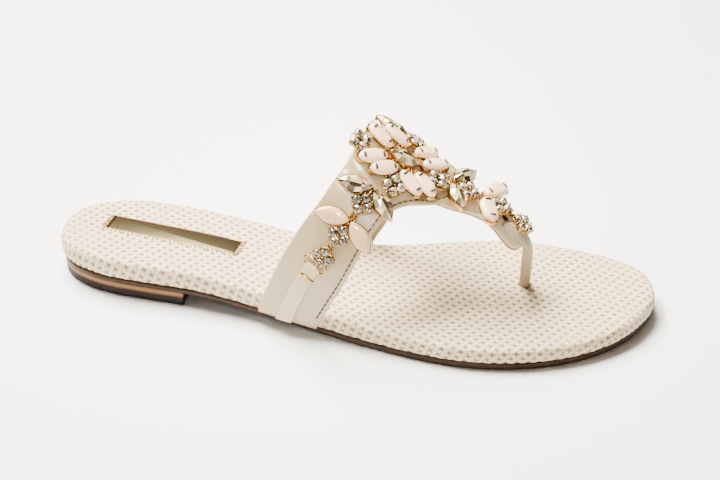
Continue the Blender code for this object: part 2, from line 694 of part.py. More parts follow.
def arm_layout(arm):
    """An arm's stones from the centre outward, and the pairs of frames its gold links join.

    A sprig is rigid, so its stones share the plane that touches the strap at the sprig's point.
    """
    stones, links = [], []
    inner = None
    for sprig in SPRIGS:
        if sprig.arm != arm:
            continue
        point = seat_matrix(sprig, 0.0)
        out = Matrix.Translation((sprig.cluster * MM, 0.0, 0.0))
        turn = Matrix.Rotation(math.radians(CLUSTER_TURN), 4, "Z")
        cluster = point @ out @ turn
        stones.append(Placed("cluster", cluster))
        out = Matrix.Translation((sprig.navettes * MM, 0.0, 0.0))
        for sign in (-1, 1):
            turn = Matrix.Rotation(math.radians(sign * sprig.spread), 4, "Z")
            stones.append(Placed(sprig.kind, point @ turn @ out))
        links += [(point, stone.frame) for stone in stones[-3:]]
        if inner is not None:
            links.append((inner, point))
        inner = cluster
    stones.append(on_strap(END_CLUSTERS[arm]))
    links.append((inner, stones[-1].frame))
    return stones, links


def centre_layout():
    """The centre's stones and links: spokes to the pink stones, and a bar on to each cluster."""
    stones = [on_strap(stone) for stone in CENTRE_STONES]
    spokes = [(0, k) for k in range(1, 9)] + CLUSTER_LINKS
    return stones, [(stones[a].frame, stones[b].frame) for a, b in spokes]


def raised(frame, height):
    return frame @ Matrix.Translation((0.0, 0.0, height * MM))


def link_between(a, b):
    """A bar's mesh and place between two frames on the strap."""
    start = raised(a, SETTING_BASE + SETTING_HEIGHT / 2)
    end = raised(b, SETTING_BASE + SETTING_HEIGHT / 2)
    along = end.translation - start.translation
    normal = (start.to_3x3().col[2] + end.to_3x3().col[2]).normalized()
    x_axis = along.normalized()
    y_axis = normal.cross(x_axis).normalized()
    place = Matrix((x_axis, y_axis, x_axis.cross(y_axis))).transposed().to_4x4()
    place.translation = (start.translation + end.translation) / 2
    return box_mesh("link", (along.length / MM, LINK_WIDTH, LINK_HEIGHT)), place


def setting(name, stones, links, parts, cutters, finish):
    """One gold setting: a plate under each stone, joined by links."""
    meshes, places = [], []
    for stone in stones:
        if stone.kind == "cluster":
            mesh = box_mesh("plate", (CLUSTER_SIDE + CLUSTER_MARGIN, CLUSTER_SIDE + CLUSTER_MARGIN,
                                      SETTING_HEIGHT))
            place = raised(stone.frame, SETTING_BASE + SETTING_HEIGHT / 2)
        else:
            outline = navette_outline(CUTS[stone.kind], SETTING_RIM)
            mesh = prism("plate", [(outline, 0.0), (outline, SETTING_HEIGHT)])
            place = raised(stone.frame, SETTING_BASE)
        meshes.append(mesh)
        places.append(place)
    for a, b in links:
        mesh, place = link_between(a, b)
        meshes.append(mesh)
        places.append(place)
    add_object(name, united(name, meshes, cutters, places), finish, parts)


def ornament(parts, cutters, gold, finishes):
    meshes = {kind: stone_mesh(kind) for kind in CUTS}
    meshes["cluster"] = cluster_mesh(cutters)
    groups = {"centre": centre_layout()}
    groups.update({arm: arm_layout(arm) for arm in END_CLUSTERS})
    for group, (stones, links) in groups.items():
        setting("setting_" + group, stones, links, parts, cutters, gold)
        counts = {}
        for stone in stones:
            family = stone.kind.split("_")[0]
            counts[family] = counts.get(family, 0) + 1
            item = add_object("%s_%s_%d" % (family, group, counts[family]), meshes[stone.kind],
                              finishes[family], parts)
            item.matrix_world = raised(stone.frame, SETTING_BASE + SETTING_HEIGHT + GAP)


def main():
    parts, cutters = start()
    weave = material("woven_wrap", (0.80, 0.74, 0.65), 0.75)
    leather = material("ivory_leather", (0.84, 0.78, 0.69), 0.45)
    dark = material("dark_leather", (0.085, 0.050, 0.032), 0.5)
    stacked = material("stacked_leather", (0.42, 0.28, 0.15), 0.45)
    gold = material("gold", (0.83, 0.62, 0.32), 0.25, 1.0)

    footbed(parts, cutters, weave)
    label_plate(parts, gold)
    outsole(parts, dark)
    heel(parts, stacked, dark)
    upper(parts, cutters, leather)
    toe_post(parts, leather)
    overlay_straps(parts, leather)
    loops(parts, gold)
    staples(parts, gold)
    finishes = {"crystal": material("smoky_crystal", (0.45, 0.40, 0.33), 0.08),
                "pink": material("pale_pink_stone", (0.88, 0.72, 0.66), 0.2),
                "cluster": material("rhinestone", (0.62, 0.62, 0.64), 0.08)}
    ornament(parts, cutters, gold, finishes)
    centre(parts, cutters)


main()
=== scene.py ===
"""The visual model of a jewelled thong slide sandal, right foot, in the CAD's frame.

Sizes are in millimetres in the sandal's own frame: the heel's back is at x = 0, the toe at
+X, the medial side is +Y and the ground is z = 0.  "reach" says how far round the last a
point lies: -1 is the lateral side at the footbed's edge, 0 the ridge, +1 the medial side.
"""

import math
from collections import namedtuple

import bmesh
import bpy
import numpy as np
from mathutils import Matrix, Vector


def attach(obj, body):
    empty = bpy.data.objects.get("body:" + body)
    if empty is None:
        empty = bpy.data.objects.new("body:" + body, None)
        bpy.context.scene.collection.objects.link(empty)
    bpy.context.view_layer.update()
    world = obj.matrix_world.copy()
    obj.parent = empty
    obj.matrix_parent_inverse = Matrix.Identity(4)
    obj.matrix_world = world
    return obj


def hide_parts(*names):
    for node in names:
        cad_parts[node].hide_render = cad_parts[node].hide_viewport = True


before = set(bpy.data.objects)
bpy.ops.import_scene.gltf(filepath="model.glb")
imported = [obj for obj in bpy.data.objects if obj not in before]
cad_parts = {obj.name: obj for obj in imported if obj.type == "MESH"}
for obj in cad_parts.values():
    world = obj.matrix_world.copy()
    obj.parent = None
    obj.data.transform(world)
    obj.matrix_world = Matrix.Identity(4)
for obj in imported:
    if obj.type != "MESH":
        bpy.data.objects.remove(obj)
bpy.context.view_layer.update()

MM = 0.001
BODY = "root"


def table(columns, *rows):
    """Rows of values that go by their columns' names."""
    kind = namedtuple("Row", columns)
    return [kind(*row) for row in rows]


# --- dimensions
LENGTH = 250.0
MIDDLE = (125.0, -3.4)
HEEL_REST, BALL_REST = 8.6, 3.2
SHANK = (60.0, 148.0)
TOE_SPRING, SPRING_FROM = 1.4, 216.0
FOOTBED_HEEL, FOOTBED_BALL = 9.2, 6.8
FOOTBED_THINS = (40.0, 170.0)
OUTSOLE_HEEL, OUTSOLE_BALL, OUTSOLE_INSET = 2.2, 2.9, 1.3
HEEL_STACK, HEEL_BREAST, HEEL_INSET = 2.2, 59.0, 1.7
GAP = 0.3
EDGE_LEVEL = 0.45  # of the footbed's widest line, as a share of its thickness
SOCKET = (196.3, 5.8, 2.75)  # the hole round the toe post: x, y and radius

STRAP_STAND = 2.0
RIDGE_Y = 3.0
LATERAL_POWER, MEDIAL_POWER = 2.0, 2.6
TUCK, TUCK_DROP, TUCK_REACH = 1.1, 0.9, 0.10
BAND_WALL = 1.5
OVERLAY_WALL, OVERLAY_GAP = 1.6, 0.15

LABEL_LENGTH, LABEL_WIDTH, LABEL_DEPTH = 58.0, 10.2, 1.4
LABEL_CORNER = 0.6
LABEL_CENTRE = (48.4, 0.7)
LABEL_TURN = math.radians(-7.2)

WIDTHS = table(
    "x medial lateral",
    (0, 0.5, -0.5), (2, 10.0, 9.0), (8, 18.6, 16.8), (15, 22.6, 21.0), (26, 25.6, 24.6),
    (42, 25.9, 26.2), (62, 23.6, 27.4), (82, 20.9, 30.2), (102, 19.6, 33.8), (122, 21.2, 37.2),
    (142, 26.2, 41.2), (160, 32.8, 44.6), (178, 38.0, 46.2), (196, 39.4, 44.2), (212, 38.2, 39.2),
    (226, 35.2, 31.5), (237, 30.2, 22.0), (245, 23.0, 10.5), (LENGTH, 7.0, -7.0))
RIDGE = table(
    "x z",
    (60, 100), (90, 93), (110, 88), (131, 79.5), (150, 65.5), (165, 58.3), (175, 52.7), (189, 45.8),
    (194, 41.8), (197, 38.4), (199, 34), (200.4, 29.5))
BAND = table(
    "reach rear front",
    (-1.10, 92.8, 118.4), (-1.05, 93.0, 118.8), (-1.00, 93.8, 119.6), (-0.92, 97.0, 123.8),
    (-0.82, 101.8, 129.3), (-0.72, 107.2, 133.8), (-0.63, 112.2, 137.2), (-0.54, 117.3, 140.5),
    (-0.45, 121.3, 143.8), (-0.37, 124.6, 147.8), (-0.30, 126.7, 153.2), (-0.24, 128.2, 160.6),
    (-0.17, 129.8, 166.2), (-0.08, 131.0, 168.6), (0.02, 131.8, 168.8), (0.12, 131.6, 166.6),
    (0.20, 130.6, 161.8), (0.27, 129.6, 157.4), (0.36, 128.2, 153.2), (0.46, 126.6, 150.2),
    (0.56, 124.8, 147.6), (0.66, 121.9, 144.6), (0.77, 118.6, 140.9), (0.87, 111.8, 136.9),
    (0.94, 104.4, 133.4), (1.00, 96.0, 128.2), (1.05, 94.8, 127.2), (1.10, 94.4, 126.8))
OVERLAYS = {
    "lateral": table("reach rear front", (-1.05, 101.3, 108.4), (-1.00, 102.1, 109.3),
                     (-0.92, 106.0, 113.0), (-0.84, 110.3, 116.9), (-0.785, 113.7, 120.8)),
    "medial": table("reach rear front", (1.05, 105.7, 114.2), (1.00, 106.5, 115.0),
                    (0.96, 111.4, 119.2), (0.92, 116.4, 124.0), (0.877, 120.6, 128.3))}
FOLD_SIZE = (1.5, 3.3, 1.15)  # half-sizes of the fold round a loop: along the strap, across, up
FOLD_RINGS = ((-1.0, 0.85), (-0.97, 1.0), (0.97, 1.0), (1.0, 0.85))  # places across it, and scale
FOLD_HEIGHT = 1.75

TOE_STRAP = table(
    "x lateral medial",
    (155, -11.5, 13.0), (162, -12.8, 14.0), (167, -11.3, 12.3), (171, -9.5, 10.4), (175.5, -7.7, 8.6),
    (180.5, -6.8, 7.6), (185, -7.5, 8.0), (190, -8.9, 9.2), (193.2, -8.9, 9.2), (195.4, -7.7, 8.1),
    (196.9, -5.6, 6.2), (197.7, -3.6, 4.2))
TOE_STRAP_FROM, TOE_STRAP_TO = 156.0, 197.7
TOE_STRAP_ARCH, TOE_STRAP_MIDDLE = 0.055, 0.5
ARCHES = (163.0, 190.0)
TAB_COVERS = (166.0, 176.0)  # where the toe strap comes out from under the band's tab
TOE_STRAP_DEPTH, TAB_DEPTH = 0.15, 1.35

Seat = namedtuple("Seat", "x reach heading")
LOOPS = {"lateral": Seat(118.2, -0.766, -110), "medial": Seat(125.4, 0.867, 110)}
STAPLES = {"lateral": Seat(114.9, -0.823, -111), "medial": Seat(122.6, 0.905, 111)}
LOOP_SIZE, LOOP_CORNER, LOOP_WIRE, LOOP_HEIGHT = (3.6, 9.8), 1.3, 0.55, 2.0
STAPLE_HALF, STAPLE_WIRE, STAPLE_LEG = 2.9, 0.6, 0.42
STAPLE_RISE, STAPLE_SINK = 0.25, 0.4  # over and under the overlay strap's face

CENTRE_STONES = table(
    "kind x reach heading", ("crystal_small", 145.8, -0.092, 19),
    ("pink_small", 135.0, -0.222, 42), ("pink_small", 139.6, -0.238, 45),
    ("pink_small", 135.6, -0.082, -13), ("pink_small", 140.6, 0.008, -8),
    ("pink_small", 150.5, -0.215, -24), ("pink_small", 156.2, -0.18, -30),
    ("pink_small", 152.8, 0.04, 46), ("pink_small", 157.8, -0.012, 42),
    ("cluster", 129.6, -0.18, 0), ("cluster", 144.6, -0.283, -25),
    ("cluster", 147.4, 0.128, 25), ("cluster", 160.4, -0.105, 8))
CENTRE_LINKS = [(0, k) for k in range(1, 9)] + [(1, 9), (2, 10), (4, 11), (6, 12)]
SPRIGS = table(
    "arm kind x reach heading spread navettes cluster",
    ("lateral", "crystal", 137.6, -0.363, -90, 66, 7.6, 7.8),
    ("lateral", "pink", 131.4, -0.545, -99, 68, 7.6, 7.8),
    ("medial", "crystal", 143.2, 0.27, 92, 66, 7.6, 7.8),
    ("medial", "pink", 138.3, 0.592, 95, 68, 7.6, 7.8),
    ("toe", "crystal", 165.0, -0.062, 2, 58, 8.2, 8.1),
    ("toe", "pink_oval", 178.0, -0.043, -1, 61, 8.0, 8.2))
END_CLUSTERS = {"lateral": Seat(121.8, -0.723, -55), "medial": Seat(128.4, 0.831, 55),
                "toe": Seat(194.0, -0.055, 45)}
CLUSTER_TURN = math.radians(45)
CLUSTER_PITCH = 4.0
PLATE_HALF, PLATE_CORNER = 3.85, 1.1  # of the plate under four round stones
SETTING_BASE, SETTING_HEIGHT = 1.0, 1.4
SEAT_LEVEL = SETTING_BASE + SETTING_HEIGHT + GAP  # where a stone's lower edge lies

Cut = namedtuple("Cut", "length width fullness tip")
CUTS = {"crystal": Cut(14.2, 7.0, 1.8, 0.92), "crystal_small": Cut(13.8, 8.0, 1.9, 0.85),
        "pink": Cut(14.2, 7.1, 2.0, 0.78), "pink_oval": Cut(13.4, 7.2, 2.5, 0.58),
        "pink_small": Cut(12.6, 6.3, 2.4, 0.58)}

# The toe post: from the strap's slot over its nose and down.  The way it faces goes from
# KNUCKLE_FACES to POST_FACES over the KNUCKLE's share of its points.
POST = table(
    "x y z wide thick",
    (187.9, -3.8, 43.2, 1.5, 0.7), (189.6, -4.6, 44.0, 2.3, 1.2), (192.8, -4.8, 42.0, 2.7, 1.4),
    (195.8, -4.4, 39.2, 2.7, 1.5), (197.7, -3.3, 35.6, 2.6, 1.7), (198.0, -1.1, 31.0, 2.4, 2.0),
    (197.5, 1.4, 25.0, 2.3, 2.2), (196.9, 3.8, 17.5, 2.3, 2.2), (196.3, 5.5, 11.0, 2.3, 2.2),
    (196.1, 6.0, 7.6, 2.3, 2.2))
KNUCKLE_FACES, POST_FACES = (0.35, -0.42, 0.84), (1.0, -0.15, 0.0)
KNUCKLE = (0.3, 0.6)
POST_FULLNESS = 0.8  # below 1 its section is fuller than an ellipse
POST_SLOT, SLOT_HALF, SLOT_RADIUS = (189.6, -2.2), (1.2, -0.3), 1.25


# --- curves
def curve_through(xs, ys, x):
    """Smooth curve through the points (xs, ys), read at x."""
    xs, ys, x = (np.asarray(values, float) for values in (xs, ys, x))
    step = np.diff(xs)
    slope = np.diff(ys) / step
    tangent = np.empty(len(xs))
    tangent[1:-1] = (step[:-1] * slope[1:] + step[1:] * slope[:-1]) / (step[:-1] + step[1:])
    tangent[0] = 1.5 * slope[0] - 0.5 * tangent[1]
    tangent[-1] = 1.5 * slope[-1] - 0.5 * tangent[-2]
    i = np.clip(np.searchsorted(xs, x) - 1, 0, len(xs) - 2)
    t = (x - xs[i]) / step[i]
    return ((2 * t**3 - 3 * t**2 + 1) * ys[i] + (t**3 - 2 * t**2 + t) * step[i] * tangent[i]
            + (3 * t**2 - 2 * t**3) * ys[i + 1] + (t**3 - t**2) * step[i] * tangent[i + 1])


def column(rows, name, x, key="x"):
    """A table's column as a smooth curve of its key, read at x."""
    rows = sorted(rows, key=lambda row: getattr(row, key))
    return curve_through([getattr(row, key) for row in rows], [getattr(row, name) for row in rows], x)


def blend(start, end, x):
    t = np.clip((np.asarray(x, float) - start) / (end - start), 0, 1)
    return t * t * (3 - 2 * t)


def unit(vectors):
    return vectors / np.linalg.norm(vectors, axis=-1, keepdims=True)


def lengths(line):
    """How far along a line each of its points lies."""
    return np.concatenate([[0], np.cumsum(np.linalg.norm(np.diff(line, axis=0), axis=1))])


def points_at(line, along, s):
    """A line's values at the lengths s, where along is the length of each of its points."""
    return np.stack([np.interp(s, along, line[:, k]) for k in range(line.shape[1])], -1)


def spokes(angles):
    return np.stack([np.cos(angles), np.sin(angles)], 1)


def circle(count, radius=1.0, turn=0.0):
    return radius * spokes(np.linspace(0, 2 * math.pi, count, endpoint=False) + turn)


CORNERS = ((1, 1), (-1, 1), (-1, -1), (1, -1))


def rounded_rectangle(half_length, half_width, radius, steps):
    """Points round a rectangle, with steps along each of its round corners."""
    middle = np.array([half_length - radius, half_width - radius])
    arcs = [middle * corner + radius * spokes(math.pi / 2 * (quarter + np.arange(steps + 1) / steps))
            for quarter, corner in enumerate(CORNERS)]
    return np.vstack(arcs)


def turned(outline, angle):
    c, s = math.cos(angle), math.sin(angle)
    return outline @ np.array([[c, s], [-s, c]])


def raised(outline, z):
    """A flat outline's points at height z."""
    return np.column_stack([outline, np.full(len(outline), z)])


# --- the sole's levels
def underside(x):
    spring = TOE_SPRING * np.clip((np.asarray(x, float) - SPRING_FROM) / (LENGTH - SPRING_FROM), 0, 1)**2
    return HEEL_REST + (BALL_REST - HEEL_REST) * blend(*SHANK, x) + spring


def footbed_thickness(x):
    return FOOTBED_HEEL + (FOOTBED_BALL - FOOTBED_HEEL) * blend(*FOOTBED_THINS, x)


def outsole_thickness(x):
    return OUTSOLE_HEEL + (OUTSOLE_BALL - OUTSOLE_HEEL) * blend(*SHANK, x)


def top_height(x):
    return underside(x) + footbed_thickness(x)


LABEL_TOP = float(top_height(LABEL_CENTRE[0]))
LABEL_FLOOR = LABEL_TOP - LABEL_DEPTH


# --- the last's surface
def last_side(x, side):
    """For side -1 or 1: the outer face's width from the ridge, and the power that rounds it."""
    half = np.where(side > 0, column(WIDTHS, "medial", x), column(WIDTHS, "lateral", x))
    return half + STRAP_STAND - side * RIDGE_Y, np.where(side > 0, MEDIAL_POWER, LATERAL_POWER)


def outer_face(x, reach):
    """Points of the strap's outer face, for arrays of x and reach."""
    x, reach = np.broadcast_arrays(np.asarray(x, float), np.asarray(reach, float))
    side = np.where(reach > 0, 1.0, -1.0)
    width, power = last_side(x, side)
    base = underside(x) + EDGE_LEVEL * footbed_thickness(x)
    rise = column(RIDGE, "z", x) - base
    turn = np.clip(np.abs(reach), 0, 1) * math.pi / 2
    y = width * np.sin(turn)**(2 / power)
    z = base + rise * np.clip(np.cos(turn), 0, None)**(2 / power)
    under = np.clip(np.abs(reach) - 1.0, 0, None) / TUCK_REACH
    drop = (base - underside(x)) * TUCK_DROP
    return np.stack([x, RIDGE_Y + side * (y - TUCK * under**2), z - drop * under], -1)


def slopes(x, reach):
    """Two ways along the outer face: towards the toe, and round the last."""
    dx, dr = 0.5, 0.012
    return (outer_face(x + dx, reach) - outer_face(x - dx, reach),
            outer_face(x, reach + dr) - outer_face(x, reach - dr))


def outer_normal(x, reach):
    return unit(np.cross(*slopes(x, reach)))


def on_last(x, reach, depth):
    """Points at a depth below the strap's outer face."""
    return outer_face(x, reach) - outer_normal(x, reach) * np.asarray(depth, float)[..., None]


def reach_at(x, y):
    side = np.where(y > RIDGE_Y, 1.0, -1.0)
    width, power = last_side(x, side)
    share = np.clip(np.abs(y - RIDGE_Y) / width, 0, 1)
    return side * np.arcsin(share**(power / 2)) * 2 / math.pi


def seat_frame(seat):
    """Frame on the strap in mm: +X along the heading, +Z out of the strap."""
    normal = outer_normal(seat.x, seat.reach)
    toe_ward = slopes(seat.x, seat.reach)[0]
    toe_ward = unit(toe_ward - normal * (toe_ward @ normal))
    heading = Matrix.Rotation(math.radians(seat.heading), 3, Vector(normal)) @ Vector(toe_ward)
    made = Matrix((heading, Vector(normal).cross(heading), Vector(normal))).transposed().to_4x4()
    made.translation = Vector(outer_face(seat.x, seat.reach))
    return made


# --- making pieces
def ring_faces(rings, count, closed=False):
    """Faces between rings of points; if they're closed, also from the last to the first."""
    faces = []
    for r in range(rings if closed else rings - 1):
        here, above = r * count, (r + 1) % rings * count
        for c in range(count):
            ahead = (c + 1) % count
            faces.append((here + c, here + ahead, above + ahead, above + c))
    return faces


class Batch:
    """Gathers points in mm and faces, some through a frame, for one piece.

    What adds to a batch gives the batch back.
    """

    def __init__(self):
        self.points, self.faces, self.tones = [], [], []
        self.count = 0

    def add(self, points, faces, place=None, tones=None):
        points = np.array(points, float).reshape(-1, 3)
        if place is not None:
            m = np.array(place)
            points = points @ m[:3, :3].T + m[:3, 3]
        self.points.append(points)
        self.faces += [tuple(self.count + i for i in face) for face in faces]
        self.tones += list(tones) if tones is not None else [0.5] * len(faces)
        self.count += len(points)
        return self

    def tube(self, rings, place=None, closed=False):
        """A body through rings of equal length, with caps at its ends or closed on itself."""
        count, n = len(rings), len(rings[0])
        faces = ring_faces(count, n, closed)
        if not closed:
            faces += [tuple(range(n))[::-1], tuple(range((count - 1) * n, count * n))]
        return self.add(rings, faces, place)

    def bar(self, start, end, radius, place=None, flat=1.0, up=(0.0, 0.0, 1.0), around=8):
        """A rounded bar from start to end; flat squeezes it along up."""
        start, end = np.asarray(start, float), np.asarray(end, float)
        axis = unit(end - start)
        side = unit(np.cross(axis, up))
        section = circle(around) * (1.0, flat) @ np.array([side, np.cross(side, axis)])
        rings = []
        for middle, tilts in ((start, (-75, -40, 0)), (end, (0, 40, 75))):
            for tilt in np.radians(tilts):
                rings.append(middle + radius * (math.sin(tilt) * axis + math.cos(tilt) * section))
        return self.tube(rings, place)

    def mesh(self, name, smooth=True, sharp=40.0):
        points = (np.vstack(self.points) - np.array([*MIDDLE, 0.0])) * MM
        mesh = bpy.data.meshes.new(name)
        mesh.from_pydata(points.tolist(), [], self.faces)
        shape = bmesh.new()
        shape.from_mesh(mesh)
        bmesh.ops.recalc_face_normals(shape, faces=shape.faces)
        shape.to_mesh(mesh)
        shape.free()
        if smooth:
            mesh.shade_smooth()
            mesh.set_sharp_from_angle(angle=math.radians(sharp))
        # The per-face tones carry the stones' painted glints and reflections.
        if any(tone != 0.5 for tone in self.tones):
            layer = mesh.attributes.new("tone", "FLOAT", "FACE")
            layer.data.foreach_set("value", self.tones)
        return mesh

    def piece(self, name, finish, slot, *nodes, smooth=True, sharp=40.0):
        return piece(name, self.mesh(name, smooth, sharp), finish, nodes)


def linked(name, data):
    """A new object in the scene."""
    item = bpy.data.objects.new(name, data)
    bpy.context.scene.collection.objects.link(item)
    return item


def piece(name, mesh, finish, nodes):
    item = linked(name, mesh)
    mesh.materials.append(finish)
    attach(item, BODY)
    if nodes:
        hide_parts(*nodes)
    return item


def rounded_sheet(rear, front, wall, columns, edge_steps):
    """Sections of a sheet with round edges between two lines: places across it, and depths."""
    rear, front = np.asarray(rear)[:, None], np.asarray(front)[:, None]
    radius = wall / 2
    turn = np.linspace(90, -90, edge_steps + 2)[1:-1] * math.pi / 180
    out, fall = radius * np.cos(turn), radius * np.sin(turn)
    flat = rear + radius + (front - rear - wall) * np.linspace(0, 1, columns)
    across = np.hstack([flat, front - radius + out, flat[:, ::-1], rear + radius - out])
    depth = [np.zeros(columns), radius - fall, np.full(columns, wall), radius + fall]
    return across, np.tile(np.concatenate(depth), (len(across), 1))


# --- materials
class Shader:
    """A material whose nodes are added by short calls."""

    def __init__(self, name):
        self.material = bpy.data.materials.new(name)
        self.material.use_nodes = True
        self.nodes = self.material.node_tree.nodes
        self.links = self.material.node_tree.links
        self.shader = self.nodes["Principled BSDF"]

    def node(self, kind, inputs=(), **settings):
        """A new node, with its settings and its inputs by name."""
        made = self.nodes.new(kind)
        for key, value in settings.items():
            setattr(made, key, value)
        for key, value in dict(inputs).items():
            self.feed(made.inputs[key], value)
        return made

    def feed(self, socket, value):
        if isinstance(value, bpy.types.NodeSocket):
            self.links.new(value, socket)
        else:
            opaque = socket.type == "RGBA" and len(value) == 3
            socket.default_value = (*value, 1.0) if opaque else value

    def set(self, **values):
        """Feed the surface's own sockets; an underscore stands for a space."""
        for key, value in values.items():
            self.feed(self.shader.inputs[key.replace("_", " ")], value)

    def math(self, operation, a, b=0.0, clamped=False):
        return self.node("ShaderNodeMath", {0: a, 1: b}, operation=operation, use_clamp=clamped).outputs[0]

    def times(self, a, b):
        return self.math("MULTIPLY", a, b)

    def plus(self, a, b):
        return self.math("ADD", a, b)

    def ramp(self, value, start, gain):
        """How far a value is past a start, times a gain, kept from 0 to 1."""
        return self.math("MULTIPLY", self.math("SUBTRACT", value, start), gain, clamped=True)

    def mix(self, factor, a, b):
        inputs = {"Factor": factor, "A": a, "B": b}
        return self.node("ShaderNodeMix", inputs, data_type="RGBA").outputs["Result"]

    def mapped(self, source, scale=(1.0, 1.0, 1.0), turn=0.0):
        inputs = {"Vector": source, "Scale": scale, "Rotation": (0.0, 0.0, turn)}
        return self.node("ShaderNodeMapping", inputs).outputs[0]

    def split(self, vector):
        return self.node("ShaderNodeSeparateXYZ", {0: vector}).outputs

    def object_point(self):
        return self.node("ShaderNodeTexCoord").outputs["Object"]

    def noise(self, scale, detail=2.0, vector=None):
        inputs = {"Vector": vector or self.object_point(), "Scale": scale, "Detail": detail}
        return self.node("ShaderNodeTexNoise", inputs).outputs["Fac"]

    def bump(self, height, strength, distance, under=None):
        inputs = {"Height": height, "Strength": strength, "Distance": distance}
        if under is not None:
            inputs["Normal"] = under
        return self.node("ShaderNodeBump", inputs).outputs[0]


def darker(colour, share):
    return tuple(part * share for part in colour)


WEAVE_PITCH = (3.6, 3.3)  # between the wrap's holes, along the weave and across it
WEAVE_TURN = math.radians(28)
WEAVE_RELIEF = 0.26
# Painted light in the cloth: the ridge colour is a painted highlight on the raised threads, the hole colour a
# painted shade in the holes.
CLOTH_BASE, CLOTH_RIDGE_HIGHLIGHT = (0.66, 0.50, 0.295), (1.0, 0.88, 0.63)
CLOTH_SHADE, CLOTH_HOLE_SHADE = (0.26, 0.185, 0.10), (0.095, 0.068, 0.042)


def weave_depth(chart):
    """How deep the cloth lies, 0 to 1: holes at whole cells, raised threads half-way between."""
    cell = turned(chart, WEAVE_TURN) / WEAVE_PITCH
    return (0.5 + 0.25 * np.cos(2 * math.pi * cell).sum(1))**1.6


def woven_wrap():
    """Woven cloth laid out by the weave map in mm: a painted shade darkens its lattice of holes, and a
    painted highlight lightens the raised threads between them.
    """
    made = Shader("woven_wrap")
    layer = made.node("ShaderNodeUVMap", uv_map="weave")
    split = made.split(made.mapped(layer.outputs[0], turn=WEAVE_TURN))
    cell = [made.math("DIVIDE", split[k], WEAVE_PITCH[k]) for k in (0, 1)]

    def wave(value, per_cell):
        return made.math("COSINE", made.times(value, 2 * math.pi * per_cell))

    coarse = [wave(value, 1) for value in cell]
    patch = made.ramp(made.noise(38.0), 0.0, 2.0)
    # Painted shade in the holes.
    hole = made.times(made.ramp(made.plus(*coarse), 1.0, 1.9), patch)
    slub = made.ramp(made.noise(900.0), 0.35, 2.6)
    # Painted highlight on the raised threads between the holes.
    ridge = made.times(made.ramp(made.math("MINIMUM", *coarse), -0.2, -1.7),
                       made.plus(made.times(slub, 0.5), 0.2))
    fine = made.plus(made.times(wave(cell[0], 2), 0.75), made.times(wave(cell[1], 2), 0.35))
    threads = made.ramp(fine, 0.6, -0.75)
    cloth = made.mix(ridge, CLOTH_BASE, CLOTH_RIDGE_HIGHLIGHT)
    cloth = made.mix(made.times(threads, 0.42), cloth, CLOTH_SHADE)
    cloth = made.mix(made.times(hole, 0.86), cloth, CLOTH_HOLE_SHADE)
    height = made.plus(made.times(threads, 0.5), ridge)
    made.set(Base_Color=cloth, Roughness=0.7, Sheen_Weight=0.15, Normal=made.bump(height, 0.6, 0.0002))
    return made.material


def leather(name, colour, roughness, gloss, grain=0.25):
    made = Shader(name)
    tone = made.times(made.noise(45.0, 3.0), 0.12)
    fine = made.bump(made.noise(1500.0), grain, 0.0001)
    made.set(Base_Color=made.mix(tone, colour, darker(colour, 0.72)), Roughness=roughness,
             Specular_IOR_Level=gloss, Coat_Weight=gloss, Coat_Roughness=0.22,
             Normal=made.bump(made.noise(130.0), grain, 0.0005, fine))
    return made.material


def varied(name, colour, roughness, metallic=0.0, shade=0.6, scale=300.0):
    """A small part's finish: its colour and roughness vary softly from place to place."""
    made = Shader(name)
    patch = made.noise(scale, 3.0)
    wear = 0.12
    made.set(Base_Color=made.mix(patch, colour, darker(colour, shade)), Metallic=metallic,
             Roughness=made.plus(made.times(patch, wear), roughness - wear / 2),
             Normal=made.bump(made.noise(scale * 6), 0.15, 0.0001))
    return made.material


LAYER_PITCH = 1.1  # between the heel's leather layers
# The heel's tan top is a painted highlight that fades to dark between these levels.
HIGHLIGHT_FADE = (3.4, 4.8)  # how far below the footbed the heel turns dark


def stacked_leather():
    """Thin layers with darker lines between them, tan above under a painted highlight that fades to dark
    below.
    """
    made = Shader("stacked_leather")
    height = made.split(made.object_point())[2]
    levels = [(HEEL_REST - below) * MM for below in HIGHLIGHT_FADE]
    below_highlight = made.node("ShaderNodeMapRange", {"Value": height, "From Min": levels[0], "From Max": levels[1]},
                    interpolation_type="SMOOTHSTEP")
    line = made.math("SINE", made.times(height, 2 * math.pi / (LAYER_PITCH * MM)))
    line = made.times(made.plus(line, 1.0), 0.14)
    streak = made.mapped(made.object_point(), (1.0, 1.0, 40.0))
    line = made.plus(line, made.times(made.noise(70.0, vector=streak), 0.25))
    tan = made.mix(line, (0.30, 0.155, 0.055), (0.12, 0.055, 0.02))
    made.set(Base_Color=made.mix(below_highlight.outputs["Result"], tan, (0.055, 0.022, 0.009)), Roughness=0.5,
             Specular_IOR_Level=0.25)
    return made.material


def faceted(name, dark, light):
    """Cut stones, with a painted tone for each facet: light tones are painted glints, dark ones painted
    reflections.
    """
    made = Shader(name)
    tone = made.node("ShaderNodeAttribute", attribute_name="tone").outputs["Fac"]
    made.set(Base_Color=made.mix(tone, dark, light), Roughness=0.08, Metallic=0.45, Coat_Weight=0.6)
    return made.material


def milky_stone(name, deep, pale):
    """A cloudy stone between two colours that lets light through."""
    made = Shader(name)
    veil = made.times(made.noise(160.0), 0.5)
    made.set(Base_Color=made.mix(veil, deep, pale), Roughness=0.16, Coat_Weight=0.5, Subsurface_Weight=0.35,
             Subsurface_Radius=(0.004, 0.002, 0.0015), Subsurface_Scale=1.0)
    return made.material


# --- the sole
PER_SIDE = 400  # points of the plan along each side
FOOTBED_CAPS, OUTSOLE_CAPS = (10, 110), (12, 4)  # faces across the lower and the upper cap


